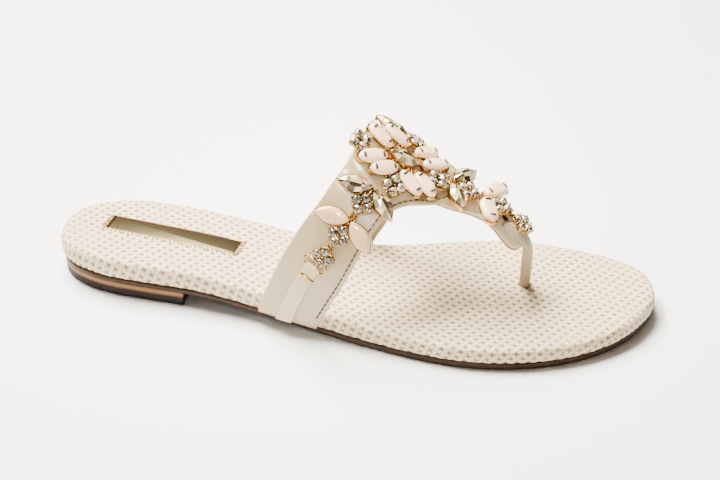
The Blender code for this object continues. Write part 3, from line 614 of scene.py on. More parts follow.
def plan_ring(inset):
    """The plan as a closed ring, and its outward normals."""
    half = np.array([(row.x, row.medial, -row.lateral) for row in WIDTHS], float)
    chord = np.hypot(np.diff(half[:, 0]), np.diff((half[:, 1] - half[:, 2]) / 2))
    knots = np.concatenate([[0], np.cumsum(np.sqrt(chord))])
    turn = 2 * knots[-1]
    around = np.vstack([half[:, :2], half[-2:0:-1, [0, 2]]])
    around_knots = np.concatenate([knots, turn - knots[-2:0:-1]])
    padded = np.vstack([around[-4:], around, around[:5]])
    padded_knots = np.concatenate([around_knots[-4:] - turn, around_knots, around_knots[:5] + turn])
    t = np.linspace(0, turn, 2 * PER_SIDE, endpoint=False)
    ring = np.stack([curve_through(padded_knots, padded[:, k], t) for k in (0, 1)], 1)
    along = np.roll(ring, -1, 0) - np.roll(ring, 1, 0)
    outward = unit(np.stack([-along[:, 1], along[:, 0]], 1))
    return ring - inset * outward, outward


def cap_faces(points, first, count, rows):
    """Faces across a ring; inner points are appended to points."""
    half = count // 2
    stations = [[first] * (rows + 1)]
    for i in range(1, half):
        a, b = points[first + i], points[first + count - i]
        inner = range(len(points), len(points) + rows - 1)
        points += [a + (b - a) * k / rows for k in range(1, rows)]
        stations.append([first + i, *inner, first + count - i])
    stations.append([first + half] * (rows + 1))
    faces = []
    for one, two in zip(stations[:-1], stations[1:]):
        for k in range(rows):
            corners = (one[k], two[k], two[k + 1], one[k + 1])
            faces.append(tuple(dict.fromkeys(corners)))  # at a tip two corners are one point
    return faces


def sole_body(sections, cap_rows):
    """Points and faces of a body through (inset, height) sections, with rows across its two caps."""
    points = []
    for inset, height in sections:
        ring, _ = plan_ring(inset)
        points += [np.array([x, y, z]) for (x, y), z in zip(ring, height(ring[:, 0]))]
    n = 2 * PER_SIDE
    faces = ring_faces(len(sections), n)
    for first, rows in zip((0, (len(sections) - 1) * n), cap_rows):
        faces += cap_faces(points, first, n, rows)
    return points, faces


SIDE = table("share inset", (0.0, 3.4), (0.06, 1.4), (0.24, 0.3), (0.45, 0.0), (0.72, 0.5),
             (0.93, 1.8), (1.0, 4.2))
SIDE_SHARES = np.array([0.0, 0.02, 0.06, 0.12, 0.18, 0.24, 0.31, 0.38, 0.45, 0.52, 0.59, 0.66, 0.73,
                        0.79, 0.85, 0.90, 0.94, 0.97, 0.985, 1.0])
CUT_RISE = 6.0  # of the label's cutter above the slot's floor
SOCKET_CUT = (7.0, 16.0)  # levels of the toe post's hole


def footbed(finish, wall_shade):
    """The cloth-wrapped footbed, with the label's slot and the toe post's socket cut out of it; the cut walls
    get a painted shade.
    """
    insets = np.maximum(column(SIDE, "inset", SIDE_SHARES, "share"), 0.0)
    sections = [(inset, lambda x, s=share: underside(x) + s * footbed_thickness(x))
                for share, inset in zip(SIDE_SHARES, insets)]
    points, faces = sole_body(sections, FOOTBED_CAPS)
    mesh = Batch().add(points, faces).mesh("footbed_cloth", sharp=80)
    chart = weave_chart(points, insets)
    layer = mesh.uv_layers.new(name="weave")
    corners = np.empty(len(mesh.loops), int)
    mesh.loops.foreach_get("vertex_index", corners)
    layer.data.foreach_set("uv", chart[corners].ravel())
    sink_weave(mesh, chart)
    item = piece("footbed_cloth", mesh, finish, ("footbed",))

    slot = Batch().tube([label_outline(0.0, LABEL_FLOOR + rise) for rise in (0.0, CUT_RISE)])
    x, y, radius = SOCKET
    socket = Batch().tube([raised(circle(40, radius) + (x, y), z) for z in SOCKET_CUT])
    cut_out(item, {"label_cut": slot, "socket_cut": socket}, wall_shade)


def weave_chart(points, insets):
    """The footbed's points on the flat cloth: the plan above, unrolled outwards down the sides."""
    top_ring, outward = plan_ring(insets[-1])
    rise = np.diff(SIDE_SHARES) * (FOOTBED_HEEL + FOOTBED_BALL) / 2
    steps = np.hypot(rise, np.diff(insets))
    chart = np.array([point[:2] for point in points])
    n = 2 * PER_SIDE
    for k in range(len(insets)):
        chart[k * n:(k + 1) * n] = top_ring + outward * steps[k:].sum()
    return chart


def sink_weave(mesh, chart):
    """Press the weave's relief into the cloth, along its normals."""
    count = len(mesh.vertices)
    spots, normals = np.empty(count * 3), np.empty(count * 3)
    mesh.vertices.foreach_get("co", spots)
    mesh.vertices.foreach_get("normal", normals)
    depth = np.repeat(weave_depth(chart), 3) * WEAVE_RELIEF * MM
    mesh.vertices.foreach_set("co", spots - normals * depth)
    mesh.update()


def mend(mesh):
    """Split a mesh into triangles, and leave out slivers folded flat on one another."""
    shape = bmesh.new()
    shape.from_mesh(mesh)
    bmesh.ops.triangulate(shape, faces=shape.faces)
    folded = [face for face in shape.faces if sum(len(edge.link_faces) == 1 for edge in face.edges) == 2]
    bmesh.ops.delete(shape, geom=folded, context="FACES")
    shape.to_mesh(mesh)
    shape.free()


def cut_out(item, cuts, wall_shade):
    """Cut batches' bodies out of a piece; the new walls take a finish of their own, here a painted shade."""
    cutters = []
    for name, batch in cuts.items():
        cutter = linked(name, batch.mesh(name))
        cutter.data.materials.append(wall_shade)
        modifier = item.modifiers.new(name, "BOOLEAN")
        modifier.operation = "DIFFERENCE"
        modifier.solver = "EXACT"
        modifier.material_mode = "TRANSFER"
        modifier.object = cutter
        cutters.append(cutter)
    bpy.context.view_layer.update()
    cut = bpy.data.meshes.new_from_object(item.evaluated_get(bpy.context.evaluated_depsgraph_get()))
    item.modifiers.clear()
    mend(cut)
    item.data = cut
    for cutter in cutters:
        bpy.data.objects.remove(cutter)


PLATE_SECTIONS = ((0.5, 0.1), (0.5, 0.6), (0.6, 0.72), (0.8, 0.78))  # margin, and height over the floor
STITCHED_LINE = -0.8  # the stitches' margin from the slot
LABEL_STITCHES = (0.6, 1.9)  # how far round the first one lies, and the step to the next
LOOK_AHEAD = 0.2  # along the line, to read its direction
STITCH_RISE = 0.1  # over the cloth
STITCH_LEAN, LABEL_STITCH_RADIUS = (0.85, 0.6), 0.4  # half its reach outwards and along the line
NO_STITCHES = 0.7  # the edge that faces further than this towards +Y has none


def label_outline(margin, z):
    """The label's slot, set in by a margin, at height z."""
    radius = max(LABEL_CORNER - margin, 0.15)
    outline = rounded_rectangle(LABEL_LENGTH / 2 - margin, LABEL_WIDTH / 2 - margin, radius, 4)
    return raised(turned(outline, LABEL_TURN) + LABEL_CENTRE, z)


def label(plate_finish, thread_finish):
    """The gold plate sunk in the label's slot, and the stitches round it."""
    plate = Batch().tube([label_outline(margin, LABEL_FLOOR + rise) for margin, rise in PLATE_SECTIONS])
    plate.piece("label_plate_gold", plate_finish, "gold", "label_plate")
    stitches = Batch()
    edge = label_outline(STITCHED_LINE, LABEL_TOP)
    edge = np.vstack([edge, edge[:1]])
    along = lengths(edge)
    first, step = LABEL_STITCHES
    for s in np.arange(first, along[-1], step):
        point, ahead = points_at(edge, along, [s, min(s + LOOK_AHEAD, along[-1])])
        tangent = unit(ahead - point)
        outward = np.cross(tangent, (0, 0, 1))
        if outward[1] < NO_STITCHES:
            point[2] = top_height(point[0]) + STITCH_RISE
            lean = outward * STITCH_LEAN[0] + tangent * STITCH_LEAN[1]
            stitches.bar(point - lean, point + lean, LABEL_STITCH_RADIUS, flat=0.7)
    stitches.piece("label_stitches", thread_finish, "woven_wrap")


OUTSOLE_SECTIONS = ((0.8, 0.0), (0.25, 0.08), (0.0, 0.25), (-0.1, 0.6), (0.0, 0.92), (0.3, 1.0))
GLUE = 0.05  # between the footbed and the outsole


def outsole(finish):
    """A body through OUTSOLE_SECTIONS: what is added to its inset, and the share of its height."""
    def level(x, share):
        return underside(x) - GLUE - (1 - share) * (outsole_thickness(x) + GAP - GLUE)

    sections = [(OUTSOLE_INSET + more, lambda x, s=share: level(x, s)) for more, share in OUTSOLE_SECTIONS]
    batch = Batch().add(*sole_body(sections, OUTSOLE_CAPS))
    batch.piece("outsole_leather", finish, "dark_leather", "outsole", sharp=50)


HEEL_STEPS = 160  # points along each side of a heel layer


def evenly(path, count):
    """Points shared out evenly along a path."""
    path = np.asarray(path, float)
    along = lengths(path)
    return points_at(path, along, np.linspace(0, along[-1], count))


def heel_layer(name, node, finish, slot, levels):
    """A flat layer of the heel through (z, inset) levels, with a straight breast."""
    rings = []
    for z, inset in levels:
        ring, _ = plan_ring(inset)
        medial = [p for p in ring[:PER_SIDE] if p[0] < HEEL_BREAST]
        lateral = [p for p in ring[PER_SIDE:] if p[0] < HEEL_BREAST]
        medial.append((HEEL_BREAST, float(column(WIDTHS, "medial", HEEL_BREAST)) - inset))
        lateral.insert(0, (HEEL_BREAST, inset - float(column(WIDTHS, "lateral", HEEL_BREAST))))
        rings.append(raised(np.vstack([evenly(side, HEEL_STEPS) for side in (medial, lateral)]), z))
    count = 2 * HEEL_STEPS
    faces = ring_faces(len(rings), count)
    for first in (0, (len(rings) - 1) * count):
        faces += [(first + k, first + k + 1, first + count - 2 - k, first + count - 1 - k)
                  for k in range(HEEL_STEPS - 1)]
    Batch().add(rings, faces).piece(name, finish, slot, node, sharp=35)


def heel(stack_finish, lift_finish):
    """The stack of leather layers and the rubber lift under it, through (z, inset) levels."""
    top = HEEL_REST - GAP - OUTSOLE_HEEL
    base = top - HEEL_STACK - GAP
    heel_layer("heel_stack_layers", "heel_stack", stack_finish, "stacked_leather",
               [(base, HEEL_INSET + 0.1), (base + 0.4, HEEL_INSET - 0.1),
                (top - 0.4, HEEL_INSET - 0.1), (top, HEEL_INSET + 0.15)])
    heel_layer("heel_lift_rubber", "heel_top_lift", lift_finish, "dark_leather",
               [(0.0, HEEL_INSET + 0.9), (0.35, HEEL_INSET + 0.35), (base - 0.3, HEEL_INSET + 0.05),
                (base - 0.02, HEEL_INSET + 0.2)])


# --- the upper
SIDE_LENGTH = 62.0  # of the band's section from the ridge to the footbed's edge
CREASES = table(
    "x reach to_x to_reach half_width depth",
    (128.0, -0.30, 137.0, -0.35, 1.7, 0.55), (126.0, -0.37, 131.5, -0.43, 1.4, 0.40),
    (131.0, -0.15, 133.0, -0.28, 2.2, -0.30), (125.0, -0.44, 134.0, -0.40, 2.4, -0.35),
    (122.0, -0.52, 126.0, -0.60, 1.8, 0.30), (113.0, -0.72, 104.0, -0.95, 3.2, 0.35),
    (121.0, -0.66, 108.0, -0.94, 3.6, -0.30), (126.0, -0.70, 119.0, -0.93, 2.6, 0.30),
    (131.5, 0.10, 135.0, 0.24, 2.0, 0.40), (129.5, 0.30, 136.0, 0.38, 1.7, 0.50),
    (126.0, 0.50, 133.0, 0.46, 2.2, -0.35), (119.0, 0.74, 110.0, 0.93, 3.2, 0.35),
    (128.0, 0.78, 114.0, 0.95, 3.4, -0.30))


def crease_depth(x, reach):
    """How far the soft troughs sink the band's leather, and the ridges lift it."""
    depth = np.zeros(np.shape(x))
    for crease in CREASES:
        run = np.array([crease.to_x - crease.x, (crease.to_reach - crease.reach) * SIDE_LENGTH])
        across = np.stack([x - crease.x, (reach - crease.reach) * SIDE_LENGTH], -1)
        share = np.clip(across @ run / (run @ run), 0, 1)
        away = np.linalg.norm(across - share[..., None] * run, axis=-1)
        depth += crease.depth * np.exp(-(away / crease.half_width)**2)
    return depth


def lines_of(rows, reach):
    """The rear and front lines of a band."""
    return [column(rows, name, reach, "reach") for name in ("rear", "front")]


BAND_CROWDING = 1.25  # above 1 a layer's rows lie closer at the ridge
BAND_LAYER, LINING_LAYER = table(
    "reach rows rear front wall steps under",
    (1.10, 220, 0.0, 0.0, BAND_WALL, (30, 5), 0.0),
    (0.985, 160, 6.0, -3.2, 0.3, (24, 2), BAND_WALL - 0.08))


def band_layer(name, layer, finish, *nodes):
    """A creased sheet of the band: it goes on at its rear and front by the layer's amounts."""
    t = np.linspace(-1, 1, layer.rows)
    rows = layer.reach * np.sign(t) * np.abs(t)**BAND_CROWDING
    rear, front = lines_of(BAND, rows)
    x, depth = rounded_sheet(rear + layer.rear, front + layer.front, layer.wall, *layer.steps)
    reach = np.broadcast_to(rows[:, None], x.shape)
    batch = Batch().tube(on_last(x, reach, depth + layer.under + crease_depth(x, reach)))
    batch.piece(name, finish, "ivory_leather", *nodes, sharp=60)


STITCH_INSET, STITCH_LENGTH, STITCH_GAP = 1.9, 1.35, 1.05
STITCH_FIRST, STITCH_RADIUS, STITCH_SUNK = 0.8, 0.36, 0.02


def band_stitches(finish):
    """A row of stitches along the band's front edge, set in from it."""
    reach = np.linspace(-0.985, 0.985, 500)
    front = lines_of(BAND, reach)[1]
    path, normals = outer_face(front, reach), outer_normal(front, reach)
    inward = np.cross(normals, unit(np.gradient(path, axis=0)))
    inward *= np.sign(-inward[:, :1])
    line = path + inward * STITCH_INSET - normals * STITCH_SUNK
    along = lengths(line)
    batch = Batch()
    at = STITCH_FIRST
    while at + STITCH_LENGTH < along[-1]:
        ends = points_at(line, along, [at, at + STITCH_LENGTH])
        batch.bar(*ends, STITCH_RADIUS, flat=0.7, up=points_at(normals, along, at))
        at += STITCH_LENGTH + STITCH_GAP
    batch.piece("band_stitches", finish, "ivory_leather")


TOE_CROWDING = 0.85  # below 1 a layer's rows lie closer at the strap's nose


def toe_strap_points(x, y, depth):
    """Points below the toe strap's face: it arches down at its sides and starts under the tab."""
    x, y = np.broadcast_arrays(np.asarray(x, float), np.asarray(y, float))
    depth = depth + TOE_STRAP_DEPTH + TAB_DEPTH * (1 - blend(*TAB_COVERS, x))
    points = on_last(x, reach_at(x, y), depth)
    points[..., 2] -= TOE_STRAP_ARCH * blend(*ARCHES, x) * (y - TOE_STRAP_MIDDLE)**2
    return points


def toe_strap_layer(name, finish, margin, top, bottom, *nodes):
    """A layer of the toe strap between two depths, with its edges set out by a margin."""
    x = TOE_STRAP_FROM + (TOE_STRAP_TO + margin - TOE_STRAP_FROM) * np.linspace(0, 1, 90)**TOE_CROWDING
    lateral, medial = (column(TOE_STRAP, side, np.minimum(x, TOE_STRAP_TO)) for side in ("lateral", "medial"))
    y, depth = rounded_sheet(lateral - margin, medial + margin, bottom - top, 18, 4)
    batch = Batch().tube(toe_strap_points(x[:, None], y, depth + top))
    batch.piece(name, finish, "ivory_leather", *nodes, sharp=60)


def toe_post(finish):
    """A leather strip folded over the strap's nose and rolled into the post."""
    knots = np.linspace(0, 1, len(POST))
    t = np.linspace(0, 1, 90)
    curves = [curve_through(knots, values, t) for values in zip(*POST)]
    line = np.stack(curves[:3], 1)
    tangent = unit(np.gradient(line, axis=0))
    share = blend(*KNUCKLE, t)[:, None]
    side = unit(np.cross((1 - share) * KNUCKLE_FACES + share * POST_FACES, tangent))
    out = np.cross(tangent, side)
    ring = circle(28)
    ring = np.sign(ring) * np.abs(ring)**POST_FULLNESS
    batch = Batch().tube([p + ring @ np.array([wide * s, thick * o])
                          for p, wide, thick, s, o in zip(line, *curves[3:], side, out)])
    batch.piece("toe_post_roll", finish, "ivory_leather", "toe_post", sharp=70)


def post_slot_shadow(finish):
    """A near-black bar in the toe strap: a painted shadow in the slot that the post's leather comes out of.
    """
    x, y = POST_SLOT
    ends = [toe_strap_points(x + sign * SLOT_HALF[0], y + sign * SLOT_HALF[1], 0.0) for sign in (-1, 1)]
    batch = Batch().bar(*ends, SLOT_RADIUS, flat=0.3, up=outer_normal(x, reach_at(x, y)), around=14)
    batch.piece("post_slot_shadow", finish, "ivory_leather")


def overlay_straps(finish):
    """A strap on each side that stands on the band, folded round the wire of its loop."""
    along, across, up = FOLD_SIZE
    fold = []
    for y, radius in FOLD_RINGS:
        ring = circle(20, radius) * (along, up) + (LOOP_SIZE[0] / 2, FOLD_HEIGHT)
        fold.append(np.insert(ring, 1, y * across, axis=1))
    for side, rows in OVERLAYS.items():
        reach = np.linspace(rows[0].reach, rows[-1].reach, 60)
        x, depth = rounded_sheet(*lines_of(rows, reach), OVERLAY_WALL, 14, 4)
        depth -= OVERLAY_WALL + OVERLAY_GAP
        batch = Batch().tube(on_last(x, np.broadcast_to(reach[:, None], x.shape), depth))
        batch.tube(fold, seat_frame(LOOPS[side]))
        batch.piece("overlay_leather_" + side, finish, "ivory_leather", "overlay_strap_" + side, sharp=50)


# --- gold fittings
def loops(finish):
    """A round wire bent into a rounded rectangle on each overlay strap."""
    length, width = LOOP_SIZE
    line = rounded_rectangle(length / 2, width / 2, LOOP_CORNER, 6)
    ahead = np.roll(line, -1, 0) - np.roll(line, 1, 0)
    outward = raised(unit(ahead[:, ::-1] * (1, -1)), 0.0)
    wire = circle(10, LOOP_WIRE)
    rings = [p + wire @ np.array([out, (0, 0, 1)]) for p, out in zip(raised(line, LOOP_HEIGHT), outward)]
    for side, seat in LOOPS.items():
        batch = Batch().tube(rings, seat_frame(seat), closed=True)
        batch.piece("loop_wire_" + side, finish, "gold", "loop_" + side)


def staples(finish):
    """A bar across each overlay strap, and its two legs."""
    face = OVERLAY_GAP + OVERLAY_WALL
    top = face + STAPLE_RISE
    for side, seat in STAPLES.items():
        place = seat_frame(seat)
        ends = [(0, y, top) for y in (-STAPLE_HALF, STAPLE_HALF)]
        batch = Batch().bar(*ends, STAPLE_WIRE, place, flat=0.8, around=10)
        for end in ends:
            batch.bar((*end[:2], face - STAPLE_SINK), end, STAPLE_LEG, place, up=(1, 0, 0), around=10)
        batch.piece("staple_wire_" + side, finish, "gold", "staple_" + side)


# --- stones
def stone_outline(cut, margin, points):
    """A stone's outline: the cut's fullness and tip make it a pointed navette or a long oval."""
    along, sine = circle(points).T
    across = np.clip(1 - np.abs(along)**cut.fullness, 0, None)**cut.tip * np.sign(sine)
    across[[0, points // 2]] = 0.0
    return np.stack([(cut.length / 2 + margin) * along, (cut.width / 2 + margin) * across], 1)


def stone_rings(cut, sections, points):
    """Rings round a stone through (margin, level) sections."""
    return [raised(stone_outline(cut, margin, points), level) for margin, level in sections]


rng = np.random.default_rng(7)
CRYSTAL_RINGS = ((0.86, 0.86, 0.0), (1.0, 1.0, 0.75), (0.64, 0.50, 2.05))  # shares of the outline, and level
CRYSTAL_RIDGE = (0.17, 2.4)  # share of the length on each side of the middle, and level
# Facet tones from 0, dark, to 1, light, are painted glints and reflections: the girdle's, the crystals' two
# sides and table, and the round stones'.
GIRDLE_TONE = 0.2
BRIGHT_FACET_GLINTS = [0.08, 0.75, 0.3, 1.0, 0.15, 0.6]
DARK_FACET_REFLECTIONS = [0.03, 0.3, 0.02, 0.65, 0.05, 0.15]
TABLE_FACET_GLINTS = [0.12, 0.03, 1.0, 0.04, 0.7, 0.35]
ROUND_RINGS = ((0.0, 1.7, 0.0), (0.7, 2.02, 0.0), (1.2, 1.6, 0.5), (1.65, 0.9, 0.0))  # level, radius, shift
ROUND_TABLE = 1.55  # level of a round stone's middle
ROUND_FACET_GLINTS = {0.0: 0.32, 0.15: 0.20, 0.4: 0.18, 0.75: 0.15, 1.0: 0.15}  # tones, and each one's odds
# Each group's share of its round stones' painted glints; the side arms' are dimmed as a painted shade.
GLINT_SHARE = {"centre": 1.0, "toe": 1.0, "lateral": 0.5, "medial": 0.5}  # of the round stones


def pointed_crystal(batch, cut, place):
    """A cut navette: crown facets round a table that is ridged along its middle."""
    n = 12
    rings = [raised(stone_outline(cut, 0.0, n) * shares, level) for *shares, level in CRYSTAL_RINGS]
    share, level = CRYSTAL_RIDGE
    ridge = [[x * cut.length, 0.0, level] for x in (share, -share)]
    # One side of the crystal's facets gets painted glints, and the other gets painted dark reflections.
    near, far = (BRIGHT_FACET_GLINTS, DARK_FACET_REFLECTIONS) if rng.random() < 0.6 else (DARK_FACET_REFLECTIONS, BRIGHT_FACET_GLINTS)
    faces = ring_faces(3, n)
    upper, front, back = 2 * n, 3 * n, 3 * n + 1
    for first, start, end in ((0, front, back), (n // 2, back, front)):
        a = [upper + (first + k) % n for k in range(n // 2 + 1)]
        faces += [(a[0], a[1], a[2], start), (a[2], a[3], a[4], end, start), (a[4], a[5], a[6], end)]
    faces.append(tuple(range(n))[::-1])
    tones = [GIRDLE_TONE] * n + near + far + TABLE_FACET_GLINTS + [GIRDLE_TONE]
    batch.add(np.vstack([*rings, ridge]), faces, place, tones)


# Sections through (margin, level): a domed stone, a cup's wall, and a ledge.
DOME = ((-0.30, 0.0), (-0.08, 0.35), (0.0, 0.75), (-0.10, 1.25), (-0.34, 1.7), (-0.82, 2.1),
        (-1.45, 2.35), (-2.1, 2.46))
CUP_WALL = ((0.22, SETTING_BASE), (0.30, SEAT_LEVEL + 0.45), (0.18, SEAT_LEVEL + 0.66),
            (0.01, SEAT_LEVEL + 0.55), (0.0, SETTING_BASE))
SCALLOPS, SCALLOP_DEPTH = 10, 0.75
BASE_PLATE = (SETTING_BASE + 0.6, SEAT_LEVEL - 0.02)
CUP_PLATE_MARGIN, LEDGE_PLATE_MARGIN = 0.05, -0.35
LEDGE = ((0.55, SETTING_BASE), (0.75, SEAT_LEVEL - 0.2), (0.55, SEAT_LEVEL + 0.1),
         (-0.3, SEAT_LEVEL + 0.1), (-0.3, SETTING_BASE))
LEDGE_STEPS = 7  # how far round a stone's end its ledge reaches, in 64ths


def cabochon(batch, cut, place):
    """A milky domed stone."""
    batch.tube(stone_rings(cut, DOME, 40), place)


def base_plate(batch, cut, place, margin):
    """A plate under a stone, its edge a margin outside the stone's."""
    batch.tube(stone_rings(cut, [(margin, level) for level in BASE_PLATE], 48), place)


def cup(batch, cut, place):
    """A setting's cup: a scalloped wall round the stone, and a plate that closes it."""
    n = 48
    rings = stone_rings(cut, CUP_WALL, n)
    scallop = 0.5 + 0.5 * np.cos(np.arange(n) * 2 * math.pi * SCALLOPS / n)
    for ring in (rings[0], rings[-1]):
        ring[:, 2] += SCALLOP_DEPTH * scallop
    batch.tube(rings, place, closed=True)
    base_plate(batch, cut, place, CUP_PLATE_MARGIN)


def end_ledges(batch, cut, place):
    """The setting of a long oval: a plate under it, and a ledge round each of its ends."""
    base_plate(batch, cut, place, LEDGE_PLATE_MARGIN)
    n = 64
    rings = np.stack(stone_rings(cut, LEDGE, n), 1)
    for middle in (0, n // 2):
        batch.tube(rings[np.arange(middle - LEDGE_STEPS, middle + LEDGE_STEPS + 1) % n], place)


CRYSTAL_SPOTS = [(-1, 0), (1, 0), (-0.5, 0.72), (-0.5, -0.72), (0.5, 0.72), (0.5, -0.72)]
PINK_SPOTS = [(-0.93, 0.22), (-0.93, -0.22), (0.93, 0.22), (0.93, -0.22)]
CLAW_OUT, CLAW_IN, CLAW_RISE, CLAW_RADIUS = 0.5, 0.45, 1.3, 0.34
BAR_PLACE, BAR_HALF, BAR_LEVEL, BAR_RADIUS = 0.33, 0.75, SEAT_LEVEL + 2.45, 0.55


def prongs(batch, cut, place, spots):
    """Claws bent over the stone at (share of half-length, share of half-width) spots."""
    for along, across in spots:
        foot = np.array([along * cut.length / 2, across * cut.width / 2, SEAT_LEVEL])
        outward = unit(np.array([along, across, 0.0]))
        up = (1, 0, 0) if abs(along) < abs(across) else (0, 1, 0)
        tip = foot - outward * CLAW_IN + (0, 0, CLAW_RISE)
        batch.bar(foot + outward * CLAW_OUT, tip, CLAW_RADIUS, place, up=up)


def stone_shadow_bars(batch, cut, place):
    """Two dark bars across a pink stone, near its ends: painted shadows of its claws."""
    for x in (-BAR_PLACE * cut.length, BAR_PLACE * cut.length):
        ends = [(x, y, BAR_LEVEL) for y in (-BAR_HALF, BAR_HALF)]
        batch.bar(*ends, BAR_RADIUS, place, flat=0.7, around=10)


def rhinestone(batch, place, glint_share):
    """A round brilliant on its girdle: two rows of sixteen facets round a table of eight."""
    n = 8
    rings = [raised(circle(n, radius, shift * 2 * math.pi / n), z) for z, radius, shift in ROUND_RINGS]
    faces = ring_faces(2, n)
    for i in range(n):
        j = (i + 1) % n
        a, b, c, d = n + i, n + j, 2 * n + i, 2 * n + j
        faces += [(a, b, c), (b, d, c)]
        a, b, c, d = 2 * n + i, 2 * n + j, 3 * n + i, 3 * n + j
        faces += [(a, d, c), (a, b, d), (c, d, 4 * n)]
    faces.append(tuple(range(n))[::-1])
    # Each facet gets a painted glint or reflection tone, scaled by its group's share.
    tones = rng.choice(list(ROUND_FACET_GLINTS), len(faces), p=list(ROUND_FACET_GLINTS.values()))
    batch.add(np.vstack([*rings, [[0.0, 0.0, ROUND_TABLE]]]), faces, place, tones * glint_share)


CLUSTER_PLATE = ((0.95, 0.0), (1.0, 0.3), (1.0, 0.9), (0.95, 1.1))  # scale, and height over its base
ROUND_CUP = ((1.75, SETTING_BASE + 0.7), (2.02, SEAT_LEVEL + 0.35), (2.06, SEAT_LEVEL + 0.5),
             (1.9, SEAT_LEVEL + 0.54))  # radius and level
CLUSTER_CLAWS = [(0, 0), (2, 0), (-2, 0), (0, 2), (0, -2),
                 (1.72, 1.72), (-1.72, 1.72), (-1.72, -1.72), (1.72, -1.72)]  # in half-pitches
CLUSTER_CLAW_LEVELS, CLUSTER_CLAW_RADIUS = (SEAT_LEVEL - 0.3, SEAT_LEVEL + 1.15), 0.36


def cluster(stones, metal, place, glint_share):
    """Four round stones in a square, each in a cup, with claws between and round them."""
    half = CLUSTER_PITCH / 2
    plate = rounded_rectangle(PLATE_HALF, PLATE_HALF, PLATE_CORNER, 4)
    metal.tube([raised(plate * scale, SETTING_BASE + height) for scale, height in CLUSTER_PLATE], place)
    for sx, sy in ((-1, -1), (-1, 1), (1, -1), (1, 1)):
        at = place @ Matrix.Translation((sx * half, sy * half, 0.0))
        spun = Matrix.Translation((0.0, 0.0, SEAT_LEVEL)) @ Matrix.Rotation(rng.random(), 4, "Z")
        rhinestone(stones, at @ spun, glint_share)
        metal.tube([raised(circle(16, radius), level) for radius, level in ROUND_CUP], at)
    for x, y in CLUSTER_CLAWS:
        ends = [(x * half, y * half, level) for level in CLUSTER_CLAW_LEVELS]
        metal.bar(*ends, CLUSTER_CLAW_RADIUS, place, up=(1, 0, 0))


ROPE_LEVEL, ROPE_RADIUS = SETTING_BASE + 0.7, 1.0
BEAD_RADIUS, BEAD_PITCH, BEAD_SPREAD = 0.56, 0.95, 1.2
BEAD_RISES = (0.35, 0.6)  # of every other bead over the bar's middle


def bead(batch, centre):
    """A round bead with flat ends."""
    rings = []
    for across, up in spokes(np.radians([-60, -20, 20, 60])):
        rings.append(centre + BEAD_RADIUS * raised(circle(8, across), up))
    batch.tube(rings)


def rope_link(batch, a, b):
    """A bar with three rows of beads between two frames on the strap."""
    start, end = (np.array(place @ Vector((0, 0, ROPE_LEVEL))) for place in (a, b))
    up = np.array((a.to_3x3().col[2] + b.to_3x3().col[2]).normalized())
    side = np.cross(up, unit(end - start))
    batch.bar(start, end, ROPE_RADIUS, flat=0.5, up=up)
    count = max(int(np.linalg.norm(end - start) / BEAD_PITCH), 1)
    for k in range(1, count + 1):
        point = start + (end - start) * k / count
        for row in (-1, 0, 1):
            bead(batch, point + side * (BEAD_SPREAD * row) + up * BEAD_RISES[(k + row) % 2])


# --- the jewelled ornament
def arm_layout(arm):
    """An arm's stones from the inside out, and the pairs of frames that rope links join."""
    stones, links = [], []
    inner = None
    for sprig in SPRIGS:
        if sprig.arm != arm:
            continue
        point = seat_frame(sprig)
        cluster_at = (point @ Matrix.Translation((sprig.cluster, 0, 0))
                      @ Matrix.Rotation(CLUSTER_TURN, 4, "Z"))
        stones.append(("cluster", cluster_at))
        for sign in (-1, 1):
            turn = Matrix.Rotation(math.radians(sign * sprig.spread), 4, "Z")
            stones.append((sprig.kind, point @ turn @ Matrix.Translation((sprig.navettes, 0, 0))))
        links += [(point, place) for _, place in stones[-3:]]
        if inner is not None:
            links.append((inner, point))
        inner = cluster_at
    end = seat_frame(END_CLUSTERS[arm])
    return stones + [("cluster", end)], links + [(inner, end)]


def centre_layout():
    """The centre's stones, and the pairs of frames that rope links join."""
    places = [seat_frame(stone) for stone in CENTRE_STONES]
    stones = [(stone.kind, place) for stone, place in zip(CENTRE_STONES, places)]
    return stones, [(places[a], places[b]) for a, b in CENTRE_LINKS]


Family = namedtuple("Family", "piece slot smooth")
FAMILIES = {"crystal": Family("crystals_", "smoky_crystal", False),
            "pink": Family("pinks_", "pale_pink_stone", True),
            "cluster": Family("rhinestones_", "rhinestone", False)}


def set_stone(kind, place, stones, metal, shadow_marks):
    """A crystal or a pink stone and the setting that its kind has; the small and oval pinks also get painted
    claw shadows.
    """
    cut = CUTS[kind]
    make = cabochon if kind.startswith("pink") else pointed_crystal
    make(stones, cut, place @ Matrix.Translation((0, 0, SEAT_LEVEL)))
    if kind in ("pink_oval", "pink_small"):
        end_ledges(metal, cut, place)
        stone_shadow_bars(shadow_marks, cut, place)
    else:
        cup(metal, cut, place)
        prongs(metal, cut, place, PINK_SPOTS if kind == "pink" else CRYSTAL_SPOTS)


def ornament(metal_finish, claw_shadow_finish, finishes):
    """Each group's metal, painted claw shadows and stones, with a finish by family and group or by family."""
    groups = {"centre": centre_layout(), **{arm: arm_layout(arm) for arm in END_CLUSTERS}}
    for group, (stones, links) in groups.items():
        metal, shadow_marks = Batch(), Batch()
        batches = {family: Batch() for family in FAMILIES}
        nodes = {family: [] for family in FAMILIES}
        for kind, place in stones:
            family = kind.split("_")[0]
            nodes[family].append("%s_%s_%d" % (family, group, len(nodes[family]) + 1))
            if family == "cluster":
                cluster(batches[family], metal, place, GLINT_SHARE[group])
            else:
                set_stone(kind, place, batches[family], metal, shadow_marks)
        for a, b in links:
            rope_link(metal, a, b)
        metal.piece("gold_" + group, metal_finish, "gold", "setting_" + group, sharp=45)
        if shadow_marks.count:
            shadow_marks.piece("claw_shadows_" + group, claw_shadow_finish, "gold")
        for family, (name, slot, smooth) in FAMILIES.items():
            finish = finishes.get(family + "_" + group, finishes[family])
            batches[family].piece(name + group, finish, slot, *nodes[family], smooth=smooth)


